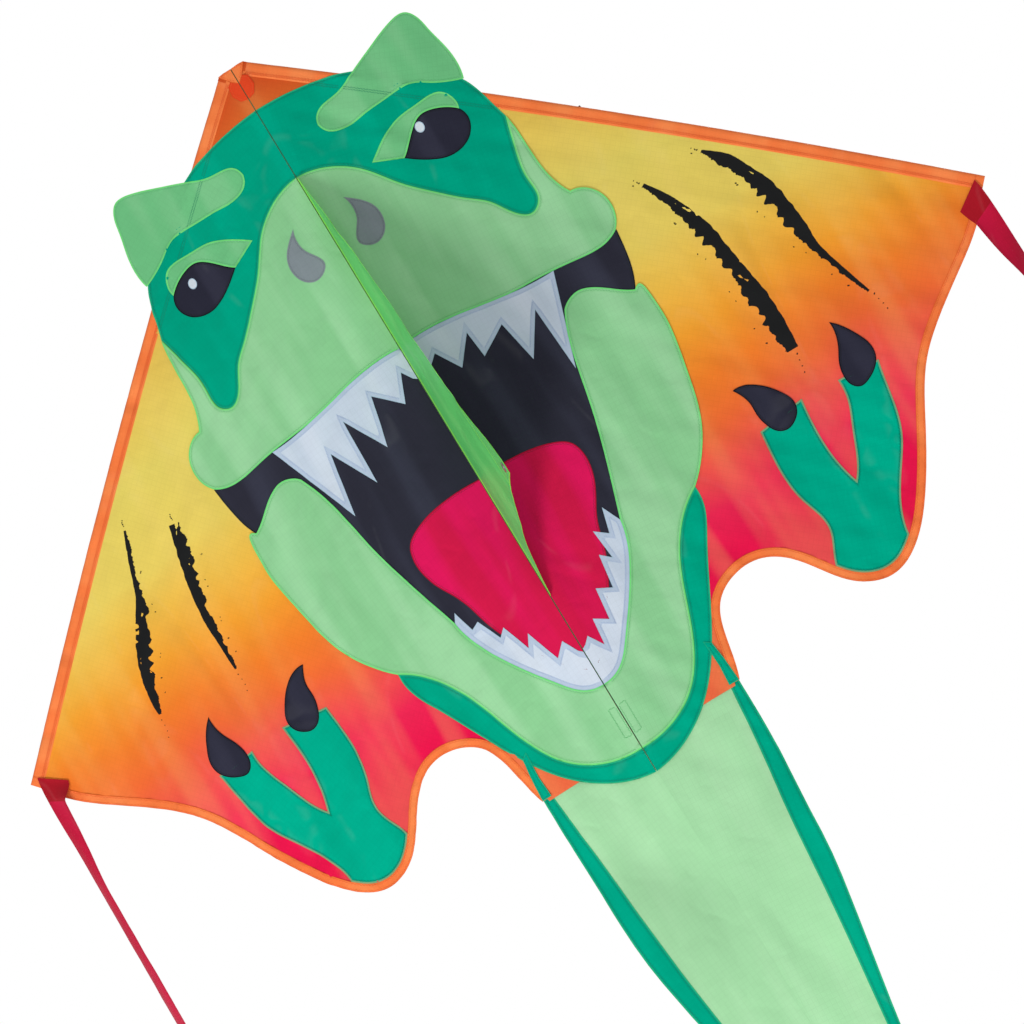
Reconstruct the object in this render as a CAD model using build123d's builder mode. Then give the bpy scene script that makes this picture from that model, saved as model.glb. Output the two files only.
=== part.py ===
"""Single-line delta kite with a dinosaur face sewn from coloured ripstop.

Frame: origin in the tow eyelet, +Z towards the nose, front of the sail facing -Y, millimetres.
The spine seam is a vertical line; each wing is a flat panel swept back from it by the dihedral,
and every cloth layer of the face is drawn on the right wing and mirrored to the left.
"""
import os
from math import atan2, cos, degrees, hypot, radians, sin

from build123d import *

os.makedirs("parts", exist_ok=True)

# ---- overall sizes ------------------------------------------------------------------------
HALF_SPAN = 585.0            # seam to wing tip, along the wing
SAIL_LENGTH = 796.0          # nose to the hem that carries the tail
NOSE_HEIGHT = 520.0          # nose above the tow eyelet
NOSE_HALF_WIDTH = 16.0
DIHEDRAL = 8.0
EDGE_BOW = 7.0               # how far the spreader bows each leading edge out
SEAM_GAP = 2.5               # wing cloth stops this far from the seam line

# ---- cloth --------------------------------------------------------------------------------
CLOTH = 0.3
HEM_WIDTH = 9.0
SLEEVE_WIDTH = 15.0
SLEEVE_WALL = 0.6

# ---- frame rods ---------------------------------------------------------------------------
SPAR_R = 2.5
SPINE_R = 2.5
SPREADER_R = 2.5
ROD_SLIP = 0.2               # radial room of a rod in its sleeve
CAP_LENGTH = 6.0
SPAR_NOSE_INSET = 25.0
SPAR_TIP_INSET = 12.0
SPINE_BACK = 5.0             # spine rod behind the seam
SPINE_NOSE_INSET = 22.0
SPINE_HEM_INSET = 20.0
SLEEVE_OVERRUN = 3.0

# ---- spreader and its connectors ----------------------------------------------------------
CONNECTOR_AT = 0.455         # share of the leading edge from the nose
CONNECTOR_LENGTH = 30.0
CONNECTOR_WALL = 1.65
CONNECTOR_GRIP = 0.03
CRADLE_REACH = 24.0
CRADLE_END = 4.0
CRADLE_WALL = 1.8
CRADLE_NECK = 8.0
CRADLE_STAND_OFF = 2.05      # cradle behind the tube on the spar
SPREADER_CAP_WALL = 0.7
SPREADER_CAP_LENGTH = 12.0
SPREADER_SLIP = 0.3
SLEEVE_WINDOW = 38.0         # length of sleeve cut away behind the connector

# ---- keel ---------------------------------------------------------------------------------
KEEL_LEAN = 18.0             # the keel hangs a little to the right of straight ahead
KEEL_ROOT = 6.0
KEEL_TOP = 387.0
KEEL_BOTTOM = -110.0
KEEL_DEPTH = 160.0
EYELET_INSET = 10.0          # eyelet in from the keel's point
EYELET_BORE_R = 2.5
EYELET_WALL = 0.8
EYELET_FLANGE_R = 5.5
EYELET_FLANGE = 0.5
EYELET_SLIP = 0.05
KEEL_PATCH_DEPTH = 34.0

# ---- spine closure and nose patch -----------------------------------------------------------
NOSE_PATCH_HALF = 12.0
NOSE_PATCH_INSET = 10.0
NOSE_PATCH_HEIGHT = 27.0
BACK_PATCH_GAP = 0.4
CLOSURE_WIDTH = 20.0
CLOSURE_INSET = 12.0         # flap's fold above the hem
CLOSURE_HEIGHT = 32.0
FLAP_GAP = 0.4
WEBBING = 0.8

# ---- tail and streamers -------------------------------------------------------------------
TAIL_LENGTH = 1490.0
TAIL_GAP = 1.0
TAIL_BACK = 14.0
STREAMER_WIDTH = 25.0
STREAMER_LENGTH = 900.0
STREAMER_INSET = 22.0        # streamer centre inboard of the wing tip
STREAMER_DROP = 22.0         # streamer's end below the tip
STREAMER_BACK = 0.6

# ---- pattern grading ----------------------------------------------------------------------
DRAWN_HALF_SPAN = 585.0
DRAWN_LENGTH = 796.0
ACROSS = HALF_SPAN / DRAWN_HALF_SPAN
DOWN = SAIL_LENGTH / DRAWN_LENGTH

# ---- worked-out places --------------------------------------------------------------------
EYELET_DEPTH = KEEL_DEPTH - EYELET_INSET
SEAM_X = -EYELET_DEPTH * sin(radians(KEEL_LEAN))
SEAM_Y = EYELET_DEPTH * cos(radians(KEEL_LEAN))
HEM_HEIGHT = NOSE_HEIGHT - SAIL_LENGTH
SPINE_TOP = NOSE_HEIGHT - SPINE_NOSE_INSET
SPINE_BOTTOM = HEM_HEIGHT + SPINE_HEM_INSET
NOSE_PATCH_TOP = NOSE_HEIGHT - NOSE_PATCH_INSET
CLOSURE_HINGE = HEM_HEIGHT + CLOSURE_INSET
CENTRE_PLANE = Plane.YZ.offset(SEAM_X)
OUTWARD = Vector(cos(radians(DIHEDRAL)), sin(radians(DIHEDRAL)), 0)
FORWARD = Vector(sin(radians(DIHEDRAL)), -cos(radians(DIHEDRAL)), 0)
SEAM = Vector(SEAM_X, SEAM_Y, 0)


def wing_plane(level=0.0):
    """Plane of the right wing, level millimetres in front of the sail's back face."""
    return Plane(origin=SEAM + FORWARD * level, x_dir=OUTWARD, z_dir=FORWARD)


def graded(points):
    """Scale drawn pattern points to the sail's own width and height below the nose."""
    drop = NOSE_HEIGHT - 520.0 * DOWN
    return [(u * ACROSS, v * DOWN + drop) for u, v in points]


def save(part, label):
    """Name a finished piece and write its STEP file."""
    part.label = label
    export_step(part, f"parts/{label}.step")


def save_pair(right, name):
    """Write the right-hand piece and its mirror image across the seam."""
    save(right, f"right_{name}")
    with BuildPart() as left:
        mirror(right, about=CENTRE_PLANE)
    save(left.part, f"left_{name}")


def stroke_outline(strokes):
    """Draw joined strokes, each a smooth curve or straight runs, and close them."""
    for kind, points in strokes:
        if kind == "curve":
            Spline(*graded(points))
        else:
            Polyline(*graded(points))
    first = graded(strokes[0][1])[0]
    last = graded(strokes[-1][1])[-1]
    if hypot(first[0] - last[0], first[1] - last[1]) > 0.01:
        Line(last, first)


def cut_layer(outlines, layer, inside=None):
    """Cloth cut to the given outlines, lying on the given layer of the right wing."""
    with BuildPart() as piece:
        with BuildSketch(wing_plane(layer * CLOTH)):
            for strokes in outlines:
                with BuildLine():
                    stroke_outline(strokes)
                make_face()
            with Locations((SEAM_GAP, 0)):
                Rectangle(2 * HALF_SPAN, 4 * SAIL_LENGTH, align=(Align.MIN, Align.CENTER),
                          mode=Mode.INTERSECT)
            if inside is not None:
                with BuildLine():
                    for edge in inside:
                        add(edge)
                make_face(mode=Mode.INTERSECT)
        extrude(amount=CLOTH)
    return piece.part


# ---- leading edge: one wide arc from nose to tip --------------------------------------------
NOSE_CORNER = (NOSE_HALF_WIDTH, NOSE_HEIGHT)
TIP_CORNER = graded([(DRAWN_HALF_SPAN, 25.0)])[0]
CHORD = (TIP_CORNER[0] - NOSE_CORNER[0], TIP_CORNER[1] - NOSE_CORNER[1])
CHORD_LENGTH = hypot(*CHORD)
EDGE_RADIUS = (CHORD_LENGTH ** 2 / 4 + EDGE_BOW ** 2) / (2 * EDGE_BOW)
EDGE_NORMAL = (-CHORD[1] / CHORD_LENGTH, CHORD[0] / CHORD_LENGTH)
EDGE_CENTRE = ((NOSE_CORNER[0] + TIP_CORNER[0]) / 2 - EDGE_NORMAL[0] * (EDGE_RADIUS - EDGE_BOW),
               (NOSE_CORNER[1] + TIP_CORNER[1]) / 2 - EDGE_NORMAL[1] * (EDGE_RADIUS - EDGE_BOW))
NOSE_ANGLE = atan2(NOSE_CORNER[1] - EDGE_CENTRE[1], NOSE_CORNER[0] - EDGE_CENTRE[0])
TIP_ANGLE = atan2(TIP_CORNER[1] - EDGE_CENTRE[1], TIP_CORNER[0] - EDGE_CENTRE[0])
EDGE_LENGTH = EDGE_RADIUS * (NOSE_ANGLE - TIP_ANGLE)


def edge_point(distance, inset=0.0):
    """Wing-plane point at a distance along the leading edge, inset from its outer line."""
    angle = NOSE_ANGLE - distance / EDGE_RADIUS
    reach = EDGE_RADIUS - inset
    return (EDGE_CENTRE[0] + reach * cos(angle), EDGE_CENTRE[1] + reach * sin(angle))


def edge_section(distance):
    """Plane across the leading edge: x points outward from the arc, y to the front."""
    angle = NOSE_ANGLE - distance / EDGE_RADIUS
    radial = OUTWARD * cos(angle) + Vector(0, 0, sin(angle))
    u, v = edge_point(distance)
    return Plane(origin=SEAM + OUTWARD * u + Vector(0, 0, v), x_dir=radial,
                 z_dir=radial.cross(FORWARD))


EDGE_AXIS = Axis(SEAM + OUTWARD * EDGE_CENTRE[0] + Vector(0, 0, EDGE_CENTRE[1]), FORWARD * -1)
SPAR_INSET = SPAR_R + ROD_SLIP + SLEEVE_WALL + 1.1
SPAR_SECTION = (-SPAR_INSET, -SPAR_INSET)
CONNECTOR_R = SPAR_R + CONNECTOR_WALL
CONNECTOR_DISTANCE = CONNECTOR_AT * EDGE_LENGTH


def arc_of(length):
    """Angle in degrees that a length takes up on the leading-edge arc."""
    return degrees(length / EDGE_RADIUS)


# ---- trailing edge ------------------------------------------------------------------------
SLEEVE_CORNER = edge_point(EDGE_LENGTH, SLEEVE_WIDTH)
TRAILING_POINTS = [SLEEVE_CORNER] + graded([
    (546, -18), (508, -46), (464, -78), (441, -99), (401, -160), (364, -218), (336, -249),
    (300, -266), (266, -255), (221, -201), (195, -185), (164, -186), (140, -201),
    (127, -232), (121, -260)]) + [(116 * ACROSS, HEM_HEIGHT)]
TAIL_CORNER = TRAILING_POINTS[-1]
HEM_SAMPLES = 26

trailing_edge = Edge.make_spline([Vector(*point) for point in TRAILING_POINTS])


def hem_inner_point(share):
    """Point one hem width inside the trailing edge."""
    here = trailing_edge @ share
    along = trailing_edge % share
    return (here.X + along.Y * HEM_WIDTH, here.Y - along.X * HEM_WIDTH)


HEM_START = edge_point(EDGE_LENGTH - HEM_WIDTH, SLEEVE_WIDTH)
HEM_END = (TAIL_CORNER[0] - HEM_WIDTH, HEM_HEIGHT)
hem_inner = Edge.make_spline(
    [Vector(*HEM_START)]
    + [Vector(*hem_inner_point(i / HEM_SAMPLES)) for i in range(1, HEM_SAMPLES)]
    + [Vector(*HEM_END)])
sleeve_inner = Edge.make_three_point_arc(
    Vector(*edge_point(0, SLEEVE_WIDTH)),
    Vector(*edge_point(EDGE_LENGTH / 2, SLEEVE_WIDTH)),
    Vector(*HEM_START))


def polyline_edges(points):
    """Straight edges through the points, in order."""
    return [Edge.make_line(Vector(*a), Vector(*b)) for a, b in zip(points, points[1:])]


SAIL_EDGES = [hem_inner, sleeve_inner] + polyline_edges([
    HEM_END, (SEAM_GAP, HEM_HEIGHT), (SEAM_GAP, NOSE_HEIGHT), NOSE_CORNER,
    edge_point(0, SLEEVE_WIDTH)])

with BuildPart() as sail_panel:
    with BuildSketch(wing_plane()):
        with BuildLine():
            for sail_edge in SAIL_EDGES:
                add(sail_edge)
        make_face()
    extrude(amount=CLOTH)
save_pair(sail_panel.part, "sail_panel")

with BuildPart() as trailing_hem:
    with BuildSketch(wing_plane()):
        with BuildLine():
            add(trailing_edge)
            add(hem_inner)
            Line(HEM_END, TAIL_CORNER)
            ThreePointArc(HEM_START, edge_point(EDGE_LENGTH - HEM_WIDTH / 2, SLEEVE_WIDTH),
                          SLEEVE_CORNER)
        make_face()
    extrude(amount=CLOTH)
save_pair(trailing_hem.part, "trailing_hem")

# ---- leading-edge sleeve, spar and its end caps ---------------------------------------------
with BuildPart() as leading_sleeve:
    with BuildSketch(edge_section(0)):
        with Locations((-SLEEVE_WIDTH, 0)):
            Rectangle(SLEEVE_WIDTH, CLOTH, align=(Align.MIN, Align.MIN))
        with Locations(SPAR_SECTION):
            Circle(SPAR_R + ROD_SLIP + SLEEVE_WALL)
        make_hull()
        with Locations(SPAR_SECTION):
            Circle(SPAR_R + ROD_SLIP, mode=Mode.SUBTRACT)
    revolve(axis=EDGE_AXIS, revolution_arc=arc_of(EDGE_LENGTH))
    with BuildSketch(edge_section(CONNECTOR_DISTANCE - SLEEVE_WINDOW / 2)):
        with Locations((1, 0)):
            Rectangle(SLEEVE_WIDTH + 2, 4 * SPAR_INSET, align=(Align.MAX, Align.MAX))
    revolve(axis=EDGE_AXIS, revolution_arc=arc_of(SLEEVE_WINDOW), mode=Mode.SUBTRACT)
save_pair(leading_sleeve.part, "leading_sleeve")

with BuildPart() as leading_spar:
    with BuildSketch(edge_section(SPAR_NOSE_INSET)):
        with Locations(SPAR_SECTION):
            Circle(SPAR_R)
    revolve(axis=EDGE_AXIS,
            revolution_arc=arc_of(EDGE_LENGTH - SPAR_NOSE_INSET - SPAR_TIP_INSET))
save_pair(leading_spar.part, "leading_spar")

with BuildPart() as spar_caps:
    for cap_start in (SPAR_NOSE_INSET - CAP_LENGTH, EDGE_LENGTH - SPAR_TIP_INSET):
        with BuildSketch(edge_section(cap_start)):
            with Locations(SPAR_SECTION):
                Circle(SPAR_R + ROD_SLIP / 2)
        revolve(axis=EDGE_AXIS, revolution_arc=arc_of(CAP_LENGTH))
save_pair(spar_caps.part, "spar_caps")

# ---- spreader connector: a tube on the spar with a cradle open to the back ------------------
CONNECTOR_UV = edge_point(CONNECTOR_DISTANCE, SPAR_INSET)
CONNECTOR_SPOT = (SEAM + OUTWARD * CONNECTOR_UV[0] + Vector(0, 0, CONNECTOR_UV[1])
                  + FORWARD * SPAR_SECTION[1])
SPREADER_CAP_R = SPREADER_R + SPREADER_CAP_WALL
SLOT_HALF = SPREADER_CAP_R + SPREADER_SLIP
CRADLE_FRONT = CONNECTOR_SPOT.Y + CONNECTOR_R + CRADLE_STAND_OFF
SPREADER_Y = CRADLE_FRONT + CRADLE_WALL + SLOT_HALF
SPREADER_Z = CONNECTOR_SPOT.Z
SPREADER_HALF = CONNECTOR_SPOT.X - SEAM_X
CRADLE_BACK = SPREADER_Y + SPREADER_CAP_R

with BuildPart() as spreader_connector:
    with BuildSketch(edge_section(CONNECTOR_DISTANCE - CONNECTOR_LENGTH / 2)):
        with Locations(SPAR_SECTION):
            Circle(CONNECTOR_R)
    revolve(axis=EDGE_AXIS, revolution_arc=arc_of(CONNECTOR_LENGTH))
    with Locations((CONNECTOR_SPOT.X + CRADLE_END, CRADLE_FRONT, SPREADER_Z)):
        Box(CRADLE_REACH + CRADLE_END, CRADLE_BACK - CRADLE_FRONT, 2 * (SLOT_HALF + CRADLE_WALL),
            align=(Align.MAX, Align.MIN, Align.CENTER))
    with Locations((CONNECTOR_SPOT.X, CONNECTOR_SPOT.Y, SPREADER_Z)):
        Box(CRADLE_NECK, CRADLE_FRONT - CONNECTOR_SPOT.Y, CRADLE_NECK / 2,
            align=(Align.CENTER, Align.MIN, Align.CENTER))
    with Locations((CONNECTOR_SPOT.X + SPREADER_SLIP, CRADLE_FRONT + CRADLE_WALL, SPREADER_Z)):
        Box(2 * CRADLE_REACH, 4 * SLOT_HALF, 2 * SLOT_HALF,
            align=(Align.MAX, Align.MIN, Align.CENTER), mode=Mode.SUBTRACT)
    with BuildSketch(edge_section(CONNECTOR_DISTANCE - CONNECTOR_LENGTH)):
        with Locations(SPAR_SECTION):
            Circle(SPAR_R + CONNECTOR_GRIP)
    revolve(axis=EDGE_AXIS, revolution_arc=arc_of(2 * CONNECTOR_LENGTH), mode=Mode.SUBTRACT)
save_pair(spreader_connector.part, "spreader_connector")

with BuildPart() as spreader_rod:
    with BuildSketch(Plane(origin=(SEAM_X - SPREADER_HALF, SPREADER_Y, SPREADER_Z),
                           z_dir=(1, 0, 0))):
        Circle(SPREADER_R)
    extrude(amount=2 * SPREADER_HALF)
save(spreader_rod.part, "spreader_rod")

with BuildPart() as spreader_end_caps:
    for cap_face, cap_way in ((SEAM_X - SPREADER_HALF, 1), (SEAM_X + SPREADER_HALF, -1)):
        with BuildSketch(Plane(origin=(cap_face, SPREADER_Y, SPREADER_Z),
                               z_dir=(cap_way, 0, 0))):
            Circle(SPREADER_CAP_R)
            Circle(SPREADER_R, mode=Mode.SUBTRACT)
        extrude(amount=SPREADER_CAP_LENGTH)
save(spreader_end_caps.part, "spreader_end_caps")

# ---- spine rod, its caps and its back sleeve ------------------------------------------------
SPINE_AXIS_Y = SEAM_Y + SPINE_BACK
SPINE_SLEEVE_R = SPINE_R + ROD_SLIP + SLEEVE_WALL


def spine_plane(height):
    """Level plane centred on the spine rod."""
    return Plane(origin=(SEAM_X, SPINE_AXIS_Y, height), z_dir=(0, 0, 1))


with BuildPart() as spine_rod:
    with BuildSketch(spine_plane(SPINE_BOTTOM)):
        Circle(SPINE_R)
    extrude(amount=SPINE_TOP - SPINE_BOTTOM)
save(spine_rod.part, "spine_rod")

for cap_name, cap_bottom in (("spine_nose_cap", SPINE_TOP),
                             ("spine_foot_cap", SPINE_BOTTOM - CAP_LENGTH)):
    with BuildPart() as spine_cap:
        with BuildSketch(spine_plane(cap_bottom)):
            Circle(SPINE_R + ROD_SLIP / 2)
        extrude(amount=CAP_LENGTH)
    save(spine_cap.part, cap_name)

with BuildPart() as spine_sleeve:
    with BuildSketch(spine_plane(SPINE_BOTTOM - SLEEVE_OVERRUN)):
        Circle(SPINE_SLEEVE_R)
        Circle(SPINE_R + ROD_SLIP, mode=Mode.SUBTRACT)
    extrude(amount=SPINE_TOP - SPINE_BOTTOM + 2 * SLEEVE_OVERRUN)
save(spine_sleeve.part, "spine_sleeve")

# ---- patches behind the seam ----------------------------------------------------------------
BACK_OF_SLEEVE = SPINE_AXIS_Y + SPINE_SLEEVE_R + BACK_PATCH_GAP


def back_patch(bottom, width, height, thickness, back):
    """Upright patch behind the spine, centred on the seam."""
    with BuildPart() as patch:
        with Locations((SEAM_X, back, bottom)):
            Box(width, thickness, height, align=(Align.CENTER, Align.MIN, Align.MIN))
    return patch.part


save(back_patch(NOSE_PATCH_TOP - NOSE_PATCH_HEIGHT, 2 * NOSE_PATCH_HALF, NOSE_PATCH_HEIGHT,
                WEBBING, BACK_OF_SLEEVE), "nose_patch")
save(back_patch(CLOSURE_HINGE, CLOSURE_WIDTH, CLOSURE_HEIGHT, WEBBING, BACK_OF_SLEEVE),
     "closure_patch")
save(back_patch(CLOSURE_HINGE, CLOSURE_WIDTH, CLOSURE_HEIGHT, WEBBING,
                BACK_OF_SLEEVE + WEBBING + FLAP_GAP), "closure_flap")

# ---- keel with its reinforcement and tow eyelet ----------------------------------------------
KEEL_ALONG = Vector(sin(radians(KEEL_LEAN)), -cos(radians(KEEL_LEAN)), 0)
KEEL_SIDE = KEEL_ALONG.cross(Vector(0, 0, 1))
BARREL_R = EYELET_BORE_R + EYELET_WALL


def keel_plane(offset):
    """Plane of the keel, offset millimetres towards its left-hand side."""
    return Plane(origin=SEAM + KEEL_SIDE * offset, x_dir=KEEL_ALONG, z_dir=KEEL_SIDE)


KEEL_NOSE = (KEEL_DEPTH, 5.0)
KEEL_HEEL = (KEEL_DEPTH, -9.0)
KEEL_BACK_EDGE = [KEEL_HEEL, (KEEL_DEPTH / 2, -30.0), (34.0, -60.0), (KEEL_ROOT, KEEL_BOTTOM)]

with BuildPart() as keel_panel:
    with BuildSketch(keel_plane(-CLOTH)):
        with BuildLine():
            Polyline((KEEL_ROOT, KEEL_BOTTOM), (KEEL_ROOT, KEEL_TOP), KEEL_NOSE, KEEL_HEEL)
            Spline(*KEEL_BACK_EDGE)
        make_face()
        with Locations((EYELET_DEPTH, 0)):
            Circle(BARREL_R + EYELET_SLIP, mode=Mode.SUBTRACT)
    extrude(amount=CLOTH)
save(keel_panel.part, "keel_panel")

with BuildPart() as keel_patch:
    with BuildSketch(keel_plane(0)):
        with BuildLine():
            Polyline((KEEL_ROOT, KEEL_BOTTOM), (KEEL_ROOT, KEEL_TOP), KEEL_NOSE, KEEL_HEEL)
            Spline(*KEEL_BACK_EDGE)
        make_face()
        with Locations((KEEL_DEPTH, 0)):
            Rectangle(KEEL_PATCH_DEPTH, 2 * KEEL_DEPTH, align=(Align.MAX, Align.CENTER),
                      mode=Mode.INTERSECT)
        with Locations((EYELET_DEPTH, 0)):
            Circle(BARREL_R + EYELET_SLIP, mode=Mode.SUBTRACT)
    extrude(amount=CLOTH)
save(keel_patch.part, "keel_patch")

with BuildPart() as tow_eyelet:
    with BuildSketch(keel_plane(-CLOTH - EYELET_FLANGE)):
        with Locations((EYELET_DEPTH, 0)):
            Circle(BARREL_R)
    extrude(amount=2 * CLOTH + 2 * EYELET_FLANGE)
    for flange_at in (-CLOTH - EYELET_FLANGE, CLOTH):
        with BuildSketch(keel_plane(flange_at)):
            with Locations((EYELET_DEPTH, 0)):
                Circle(EYELET_FLANGE_R)
        extrude(amount=EYELET_FLANGE)
    with BuildSketch(keel_plane(-KEEL_DEPTH)):
        with Locations((EYELET_DEPTH, 0)):
            Circle(EYELET_BORE_R)
    extrude(amount=2 * KEEL_DEPTH, mode=Mode.SUBTRACT)
save(tow_eyelet.part, "tow_eyelet")

# ---- face and hands: outlines in millimetres on the right wing, seam at zero -----------------
BROW = [(212, 330), (203, 298), (197, 262), (195, 238), (184, 230.5), (167, 242), (153, 263),
        (137, 277), (111, 301.5), (86, 328), (61, 360), (38, 377), (0, 387)]
LIP = [(245, 171), (232, 165), (208, 164), (171, 168.5), (123, 171.5), (64, 181), (22, 184),
       (0, 182)]
CROWN = [("curve", [(0, 469), (30, 468), (79, 460), (103, 452), (152, 422), (196, 383),
                    (206, 353), (212, 330)]),
         ("curve", BROW)]
SNOUT = [("curve", BROW[::-1]),
         ("curve", [(212, 330), (215, 282), (219, 248), (227, 229)]),
         ("curve", [(227, 229), (240, 225), (251, 213), (255, 197), (245, 171)]),
         ("curve", LIP)]
HORN = [("curve", [(46, 422), (52, 434), (79, 441), (103, 451), (130, 463), (160, 475),
                   (180, 476), (189, 463), (192, 448), (197, 425), (199, 403), (196, 385)]),
        ("curve", [(196, 385), (180, 391), (165, 399), (152, 407), (137, 410), (119, 409),
                   (92, 407), (70, 405), (53, 410), (46, 422)])]
EYE_TOP = [(103, 347), (121, 364), (139, 376), (152, 375), (176, 361)]
EYE = [("curve", EYE_TOP),
       ("curve", [(176, 361), (179, 345), (170, 331), (149, 324), (126, 331), (103, 347)])]
EYELID = [("curve", EYE_TOP),
          ("curve", [(176, 361), (177, 372), (168, 386), (142, 388), (115, 385), (92, 374),
                     (73, 360)]),
          ("line", [(73, 360), (103, 347)])]
NOSTRIL = [("curve", [(30, 345), (43, 334), (52, 322), (54, 307), (48, 293), (38, 287),
                      (27, 289), (20, 297), (23, 307), (31, 320), (33, 332), (30, 345)])]
MOUTH = [("line", [(0, 190), (60, 188), (170, 178), (236, 176), (246, 171)]),
         ("curve", [(246, 171), (243, 148), (238, 126), (230, 108)]),
         ("line", [(230, 108), (205, 118), (184, 122), (170, 112)]),
         ("curve", [(170, 112), (153, 80), (139, 28), (122, -32), (106, -78), (70, -158),
                    (38, -196), (0, -214)])]
GUM = [(0, -211), (24, -203), (44, -180), (56, -164), (77, -133), (94, -98), (98, -80)]
JAW = [("curve", [(230, 109), (236, 112), (241, 95), (241, 62), (232, 13), (218, -37),
                  (198, -70), (178, -91)]),
       ("curve", [(178, -91), (157, -106), (128, -145), (104, -205), (66, -263), (44, -276),
                  (19, -283), (0, -284)]),
       ("line", [(0, -284), (0, -211)]),
       ("curve", GUM),
       ("curve", [(98, -80), (115, -28), (131, 28), (137, 55), (147, 97), (160, 129)]),
       ("curve", [(160, 129), (170, 136), (182, 138), (194, 134), (206, 126), (230, 109)])]
CHIN = [("curve", [(0, -284), (19, -283), (44, -276), (66, -263), (104, -205), (128, -145),
                   (157, -106), (178, -91)]),
        ("curve", [(178, -91), (176, -112), (162, -140), (115, -226), (78, -274), (38, -301),
                   (0, -311)])]
TONGUE = [("curve", [(0, 27), (28, 29), (56, 27), (80, 21), (97, 10), (102, -8), (100, -24),
                     (92, -44), (80, -66), (70, -98), (55, -130), (38, -159), (20, -182),
                     (0, -196)])]
GUM_LINE = [(0, 182), (64, 181), (123, 171.5), (171, 168.5)]
UPPER_TEETH = {
    "right": [("curve", GUM_LINE),
              ("line", [(171, 168.5), (139, 72), (135, 144), (108, 102), (99, 149), (68, 130),
                        (65, 160), (43, 132), (27, 159), (11, 144), (0, 152)])],
    "left": [("curve", GUM_LINE),
             ("line", [(171, 168.5), (130, 66), (119, 133), (92, 82), (90, 153), (64, 106),
                       (51, 158), (25, 132), (12, 161), (0, 142)])]}
LOWER_TEETH = {
    "right": [("curve", GUM),
              ("line", [(98, -80), (89, -60), (82, -86), (69, -76), (72, -108), (62, -99),
                        (57, -134), (42, -126), (38, -159), (24, -150), (21, -178),
                        (11, -162), (0, -173)])],
    "left": [("curve", GUM),
             ("line", [(98, -80), (93, -71), (86, -95), (77, -91), (65, -117), (57, -110),
                       (46, -141), (39, -128), (26, -165), (13, -153), (0, -178)])]}
HAND = [("curve", [(398, -77), (393, -100), (388, -125), (380, -150), (361, -180), (340, -214),
                   (332, -240)]),
        ("line", [(332, -240), (330, -275), (262, -275), (254, -232)]),
        ("curve", [(254, -232), (262, -212), (268, -196), (268, -184), (261, -160),
                   (257, -134), (258, -105), (261, -78)]),
        ("line", [(261, -78), (313, -71)]),
        ("curve", [(313, -71), (309, -112), (310, -140), (316, -168)]),
        ("curve", [(316, -168), (322, -160), (339, -124), (350, -98), (353, -74)]),
        ("line", [(353, -74), (398, -77)])]
INNER_CLAW = [("curve", [(259, -29), (272, -30), (281, -35), (291, -44), (300, -56),
                         (305, -67), (303, -79), (295, -87), (286, -90), (276, -86),
                         (270, -76), (267, -62), (267, -48), (264, -38), (259, -29)])]
OUTER_CLAW = [("curve", [(376, -20), (386, -31), (394, -45), (399, -59), (398, -72),
                         (391, -82), (380, -89), (369, -91), (362, -85), (360, -72),
                         (363, -60), (370, -47), (375, -34), (376, -20)])]

# name, outlines, layer counted from the sail's back face
APPLIQUES = [
    ("mouth_lining", [MOUTH], 1),
    ("crown", [CROWN], 1),
    ("chin_band", [CHIN], 1),
    ("horn", [HORN], 2),
    ("tongue", [TONGUE], 2),
    ("eyelid", [EYELID], 2),
    ("eye", [EYE], 2),
    ("claws", [INNER_CLAW, OUTER_CLAW], 2),
    ("snout", [SNOUT], 4),
    ("lower_jaw", [JAW], 4),
    ("nostril", [NOSTRIL], 5),
]
for applique_name, applique_outlines, applique_layer in APPLIQUES:
    save_pair(cut_layer(applique_outlines, applique_layer), applique_name)
save_pair(cut_layer([HAND], 1, inside=SAIL_EDGES), "hand")

TEETH_LAYER = 3
for teeth_name, teeth in (("upper_teeth", UPPER_TEETH), ("lower_teeth", LOWER_TEETH)):
    save(cut_layer([teeth["right"]], TEETH_LAYER), f"right_{teeth_name}")
    with BuildPart() as left_teeth:
        mirror(cut_layer([teeth["left"]], TEETH_LAYER), about=CENTRE_PLANE)
    save(left_teeth.part, f"left_{teeth_name}")

# ---- tail: two halves meeting at the centre crease, each with a dark edge band ----------------
TAIL_Y = SEAM_Y + TAIL_BACK
TAIL_TOP = HEM_HEIGHT - TAIL_GAP
TAIL_OUTER = [(1.0, 0.0), (0.985, 0.056), (0.96, 0.09), (0.93, 0.124), (0.866, 0.156),
              (0.7, 0.2235), (0.56, 0.29), (0.395, 0.452), (0.193, 0.72), (0.07, 1.0)]
TAIL_INNER = [(0.905, 0.0), (0.855, 0.039), (0.781, 0.089), (0.715, 0.14), (0.579, 0.2235),
              (0.475, 0.29), (0.29, 0.452), (0.105, 0.72), (0.026, 1.0)]


def tail_points(shares):
    """Tail edge points from shares of the top half-width and of the length."""
    half = TAIL_CORNER[0] - 2.0
    return [(across * half, TAIL_TOP - down * TAIL_LENGTH) for across, down in shares]


def tail_piece(edge_a, edge_b):
    """Right-hand tail cloth between two edges that run from top to bottom."""
    with BuildPart() as piece:
        with BuildSketch(Plane(origin=(SEAM_X, TAIL_Y, 0), x_dir=(1, 0, 0), z_dir=(0, -1, 0))):
            with BuildLine():
                for points in (edge_a, edge_b):
                    if len(points) > 2:
                        Spline(*points)
                    else:
                        Line(*points)
                Line(edge_a[0], edge_b[0])
                Line(edge_a[-1], edge_b[-1])
            make_face()
        extrude(amount=CLOTH)
    return piece.part


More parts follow.
